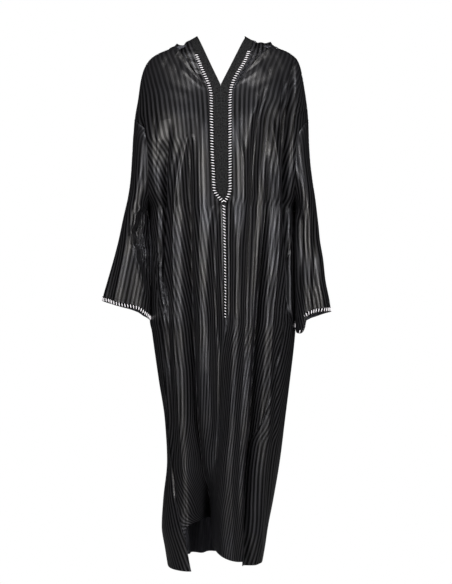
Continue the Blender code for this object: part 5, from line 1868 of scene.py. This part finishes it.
def on_front(path, lift):
    """Points and normals along a line on the front, held off it."""
    path = np.array(path, float)
    x, z = path[:, 0], path[:, 1]
    low = front_lifted(x, z, np.zeros(len(x)))
    high = front_lifted(x, z, np.ones(len(x)) * 0.01)
    normal = unit(high - low)
    return low + normal * lift, normal


down = np.concatenate([np.linspace(-0.022, -0.139, 24), np.linspace(-0.150, -0.418, 44), [-0.424, -0.431, -0.438]])
left_line = [(read(PLACKET, "left", z), z) for z in down if z < -0.030]
right_line = [(read(PLACKET, "right", z), z) for z in down]
for name, path, lean_way in (("right", left_line, 1), ("left", right_line, -1)):
    points, normals = on_front(path + [(PLACKET_TIP[0], PLACKET_TIP[1] + 0.001)], 0.0016)
    braid("braid_neck_" + name, points, normals, BRAID_WIDTH, "braid_neck", slant=77 * lean_way)

z_line = np.linspace(PLACKET_TIP[1] - 0.006, CENTRE_BRAID_END, 60)
points, normals = on_front([(read(CENTRE, "x", z), z) for z in z_line], 0.0014)
braid("braid_front_cord", points, normals, 0.0096, "braid_front", slant=60, taper=(0.0100, 0.0050), pitch=0.0078)

for side in (-1, 1):
    name = "braid_cuff_" + SIDE_NAME[side]
    levels = np.concatenate([spaced([UNDERARM_Z - 0.002, -0.640], 0.02)])
    rim = [sleeve_half(side, face, levels, 12, np.linspace(0, 1, 41)) for face in (-1, 1)]
    ring = np.concatenate([rim[0], rim[1][:, -2:0:-1]], axis=1)
    edge = ring[-1]
    above = unit(ring[-3] - ring[-1])
    around = np.roll(edge, -1, axis=0) - np.roll(edge, 1, axis=0)
    normal = unit(np.cross(around, above))
    middle = edge.mean(axis=0)
    normal = normal * np.sign(((edge - middle) * normal).sum(-1, keepdims=True))
    degrees = np.concatenate([np.linspace(0, 180, 41), np.linspace(180, 360, 41)[1:-1]])
    tucked = ease((degrees - 110) / 5) * ease((190 - degrees) / 8) if side > 0 else np.zeros(len(degrees))
    tucked = tucked * (1 - np.exp(-(((degrees - 144) / 7.0) ** 2)))
    into = unit(np.cross(normal, around))
    into = into * np.sign((into * above).sum(-1, keepdims=True))
    line = edge + into * (BRAID_WIDTH / 2 + 0.0005) + normal * (0.0014 - 0.0052 * tucked)[:, None]
    line = np.concatenate([line, line[:1]])
    normal = np.concatenate([normal, normal[:1]])
    braid(name + "_cord", line, normal, BRAID_WIDTH, name, pitch=0.0079, slant=70 * side)

# The flat cut of each piece: its widest row and its longest column (the hood is a
# rectangle that it could be cut from), and the area
# that the piece itself has.
SHEETS = {
    "front_right": (0.375, 1.57),
    "front_left": (0.365, 1.63),
    "back": (0.80, 1.63),
    "sleeve_right": (0.392, 0.676),
    "sleeve_left": (0.384, 0.692),
    "hood": (0.60, 0.56),
    "band_right": (0.032, 0.83),
    "band_left": (0.032, 0.83),
}
for name, (made, area) in pieces.items():
    wide, long = SHEETS[name]

# ---------------------------------------------------------------- floor, light, camera
FLOOR_Z = -1.75
floor_mesh = bpy.data.meshes.new("floor")
size = 30
floor_mesh.from_pydata([(-size, -size, FLOOR_Z), (size, -size, FLOOR_Z), (size, size, FLOOR_Z), (-size, size, FLOOR_Z)], [], [(0, 1, 2, 3)])
floor = bpy.data.objects.new("floor", floor_mesh)
bpy.context.scene.collection.objects.link(floor)
floor_material, floor_tree, floor_shader = new_material("pale_floor")
floor_shader.inputs["Base Color"].default_value = (0.16, 0.16, 0.16, 1)
floor_shader.inputs["Roughness"].default_value = 0.9
floor_seen = floor_tree.nodes.new("ShaderNodeLightPath")
floor_white = floor_tree.nodes.new("ShaderNodeEmission")
floor_join = floor_tree.nodes.new("ShaderNodeMixShader")
floor_tree.links.new(floor_seen.outputs["Is Camera Ray"], floor_join.inputs[0])
floor_tree.links.new(floor_shader.outputs[0], floor_join.inputs[1])
floor_tree.links.new(floor_white.outputs[0], floor_join.inputs[2])
floor_tree.links.new(floor_join.outputs[0], floor_tree.nodes["Material Output"].inputs[0])
floor_mesh.materials.append(floor_material)

world = bpy.data.worlds.new("studio")
bpy.context.scene.world = world
world.use_nodes = True
tree = world.node_tree
background = tree.nodes["Background"]
background.inputs["Color"].default_value = (1, 1, 1, 1)
dim = tree.nodes.new("ShaderNodeBackground")
dim.inputs["Color"].default_value = (1, 1, 1, 1)
dim.inputs["Strength"].default_value = 0.014
seen = tree.nodes.new("ShaderNodeLightPath")
join = tree.nodes.new("ShaderNodeMixShader")
tree.links.new(seen.outputs["Is Camera Ray"], join.inputs[0])
tree.links.new(dim.outputs[0], join.inputs[1])
tree.links.new(background.outputs[0], join.inputs[2])
tree.links.new(join.outputs[0], tree.nodes["World Output"].inputs[0])


def soft_light(name, place, aim, size, power):
    data = bpy.data.lights.new(name, "AREA")
    data.shape = "RECTANGLE"
    data.size, data.size_y = size
    data.energy = power
    made = bpy.data.objects.new(name, data)
    made.location = place
    made.rotation_euler = (Vector(aim) - Vector(place)).to_track_quat("-Z", "Y").to_euler()
    bpy.context.scene.collection.objects.link(made)
    return made


soft_light("left_light", (2.3, -3.8, 0.25), (0, 0, -0.40), (1.5, 1.0), 55)
soft_light("right_light", (-2.3, -3.8, 0.25), (0, 0, -0.40), (1.5, 1.0), 47)
soft_light("low_left_light", (2.3, -3.8, -1.15), (0, 0, -1.10), (1.2, 0.7), 12)
soft_light("low_right_light", (-2.3, -3.8, -1.15), (0, 0, -1.10), (1.2, 0.7), 10)
soft_light("back_light", (0.0, 4.4, 0.5), (0, 0, -0.6), (1.8, 1.4), 70)
soft_light("top_light", (0.0, -1.5, 3.0), (0, 0, -0.05), (1.6, 0.7), 42)

camera_data = bpy.data.cameras.new("camera")
camera = bpy.data.objects.new("camera", camera_data)
bpy.context.scene.collection.objects.link(camera)
camera.location = (0.014, -4.5, -0.686)
camera.rotation_euler = (np.pi / 2, 0, 0)
camera_data.sensor_fit = "VERTICAL"
camera_data.sensor_height = 36
camera_data.lens = 36 * 4.5 / 1.6352
camera_data.clip_end = 100
bpy.context.scene.camera = camera
bpy.context.scene.view_settings.view_transform = "Standard"
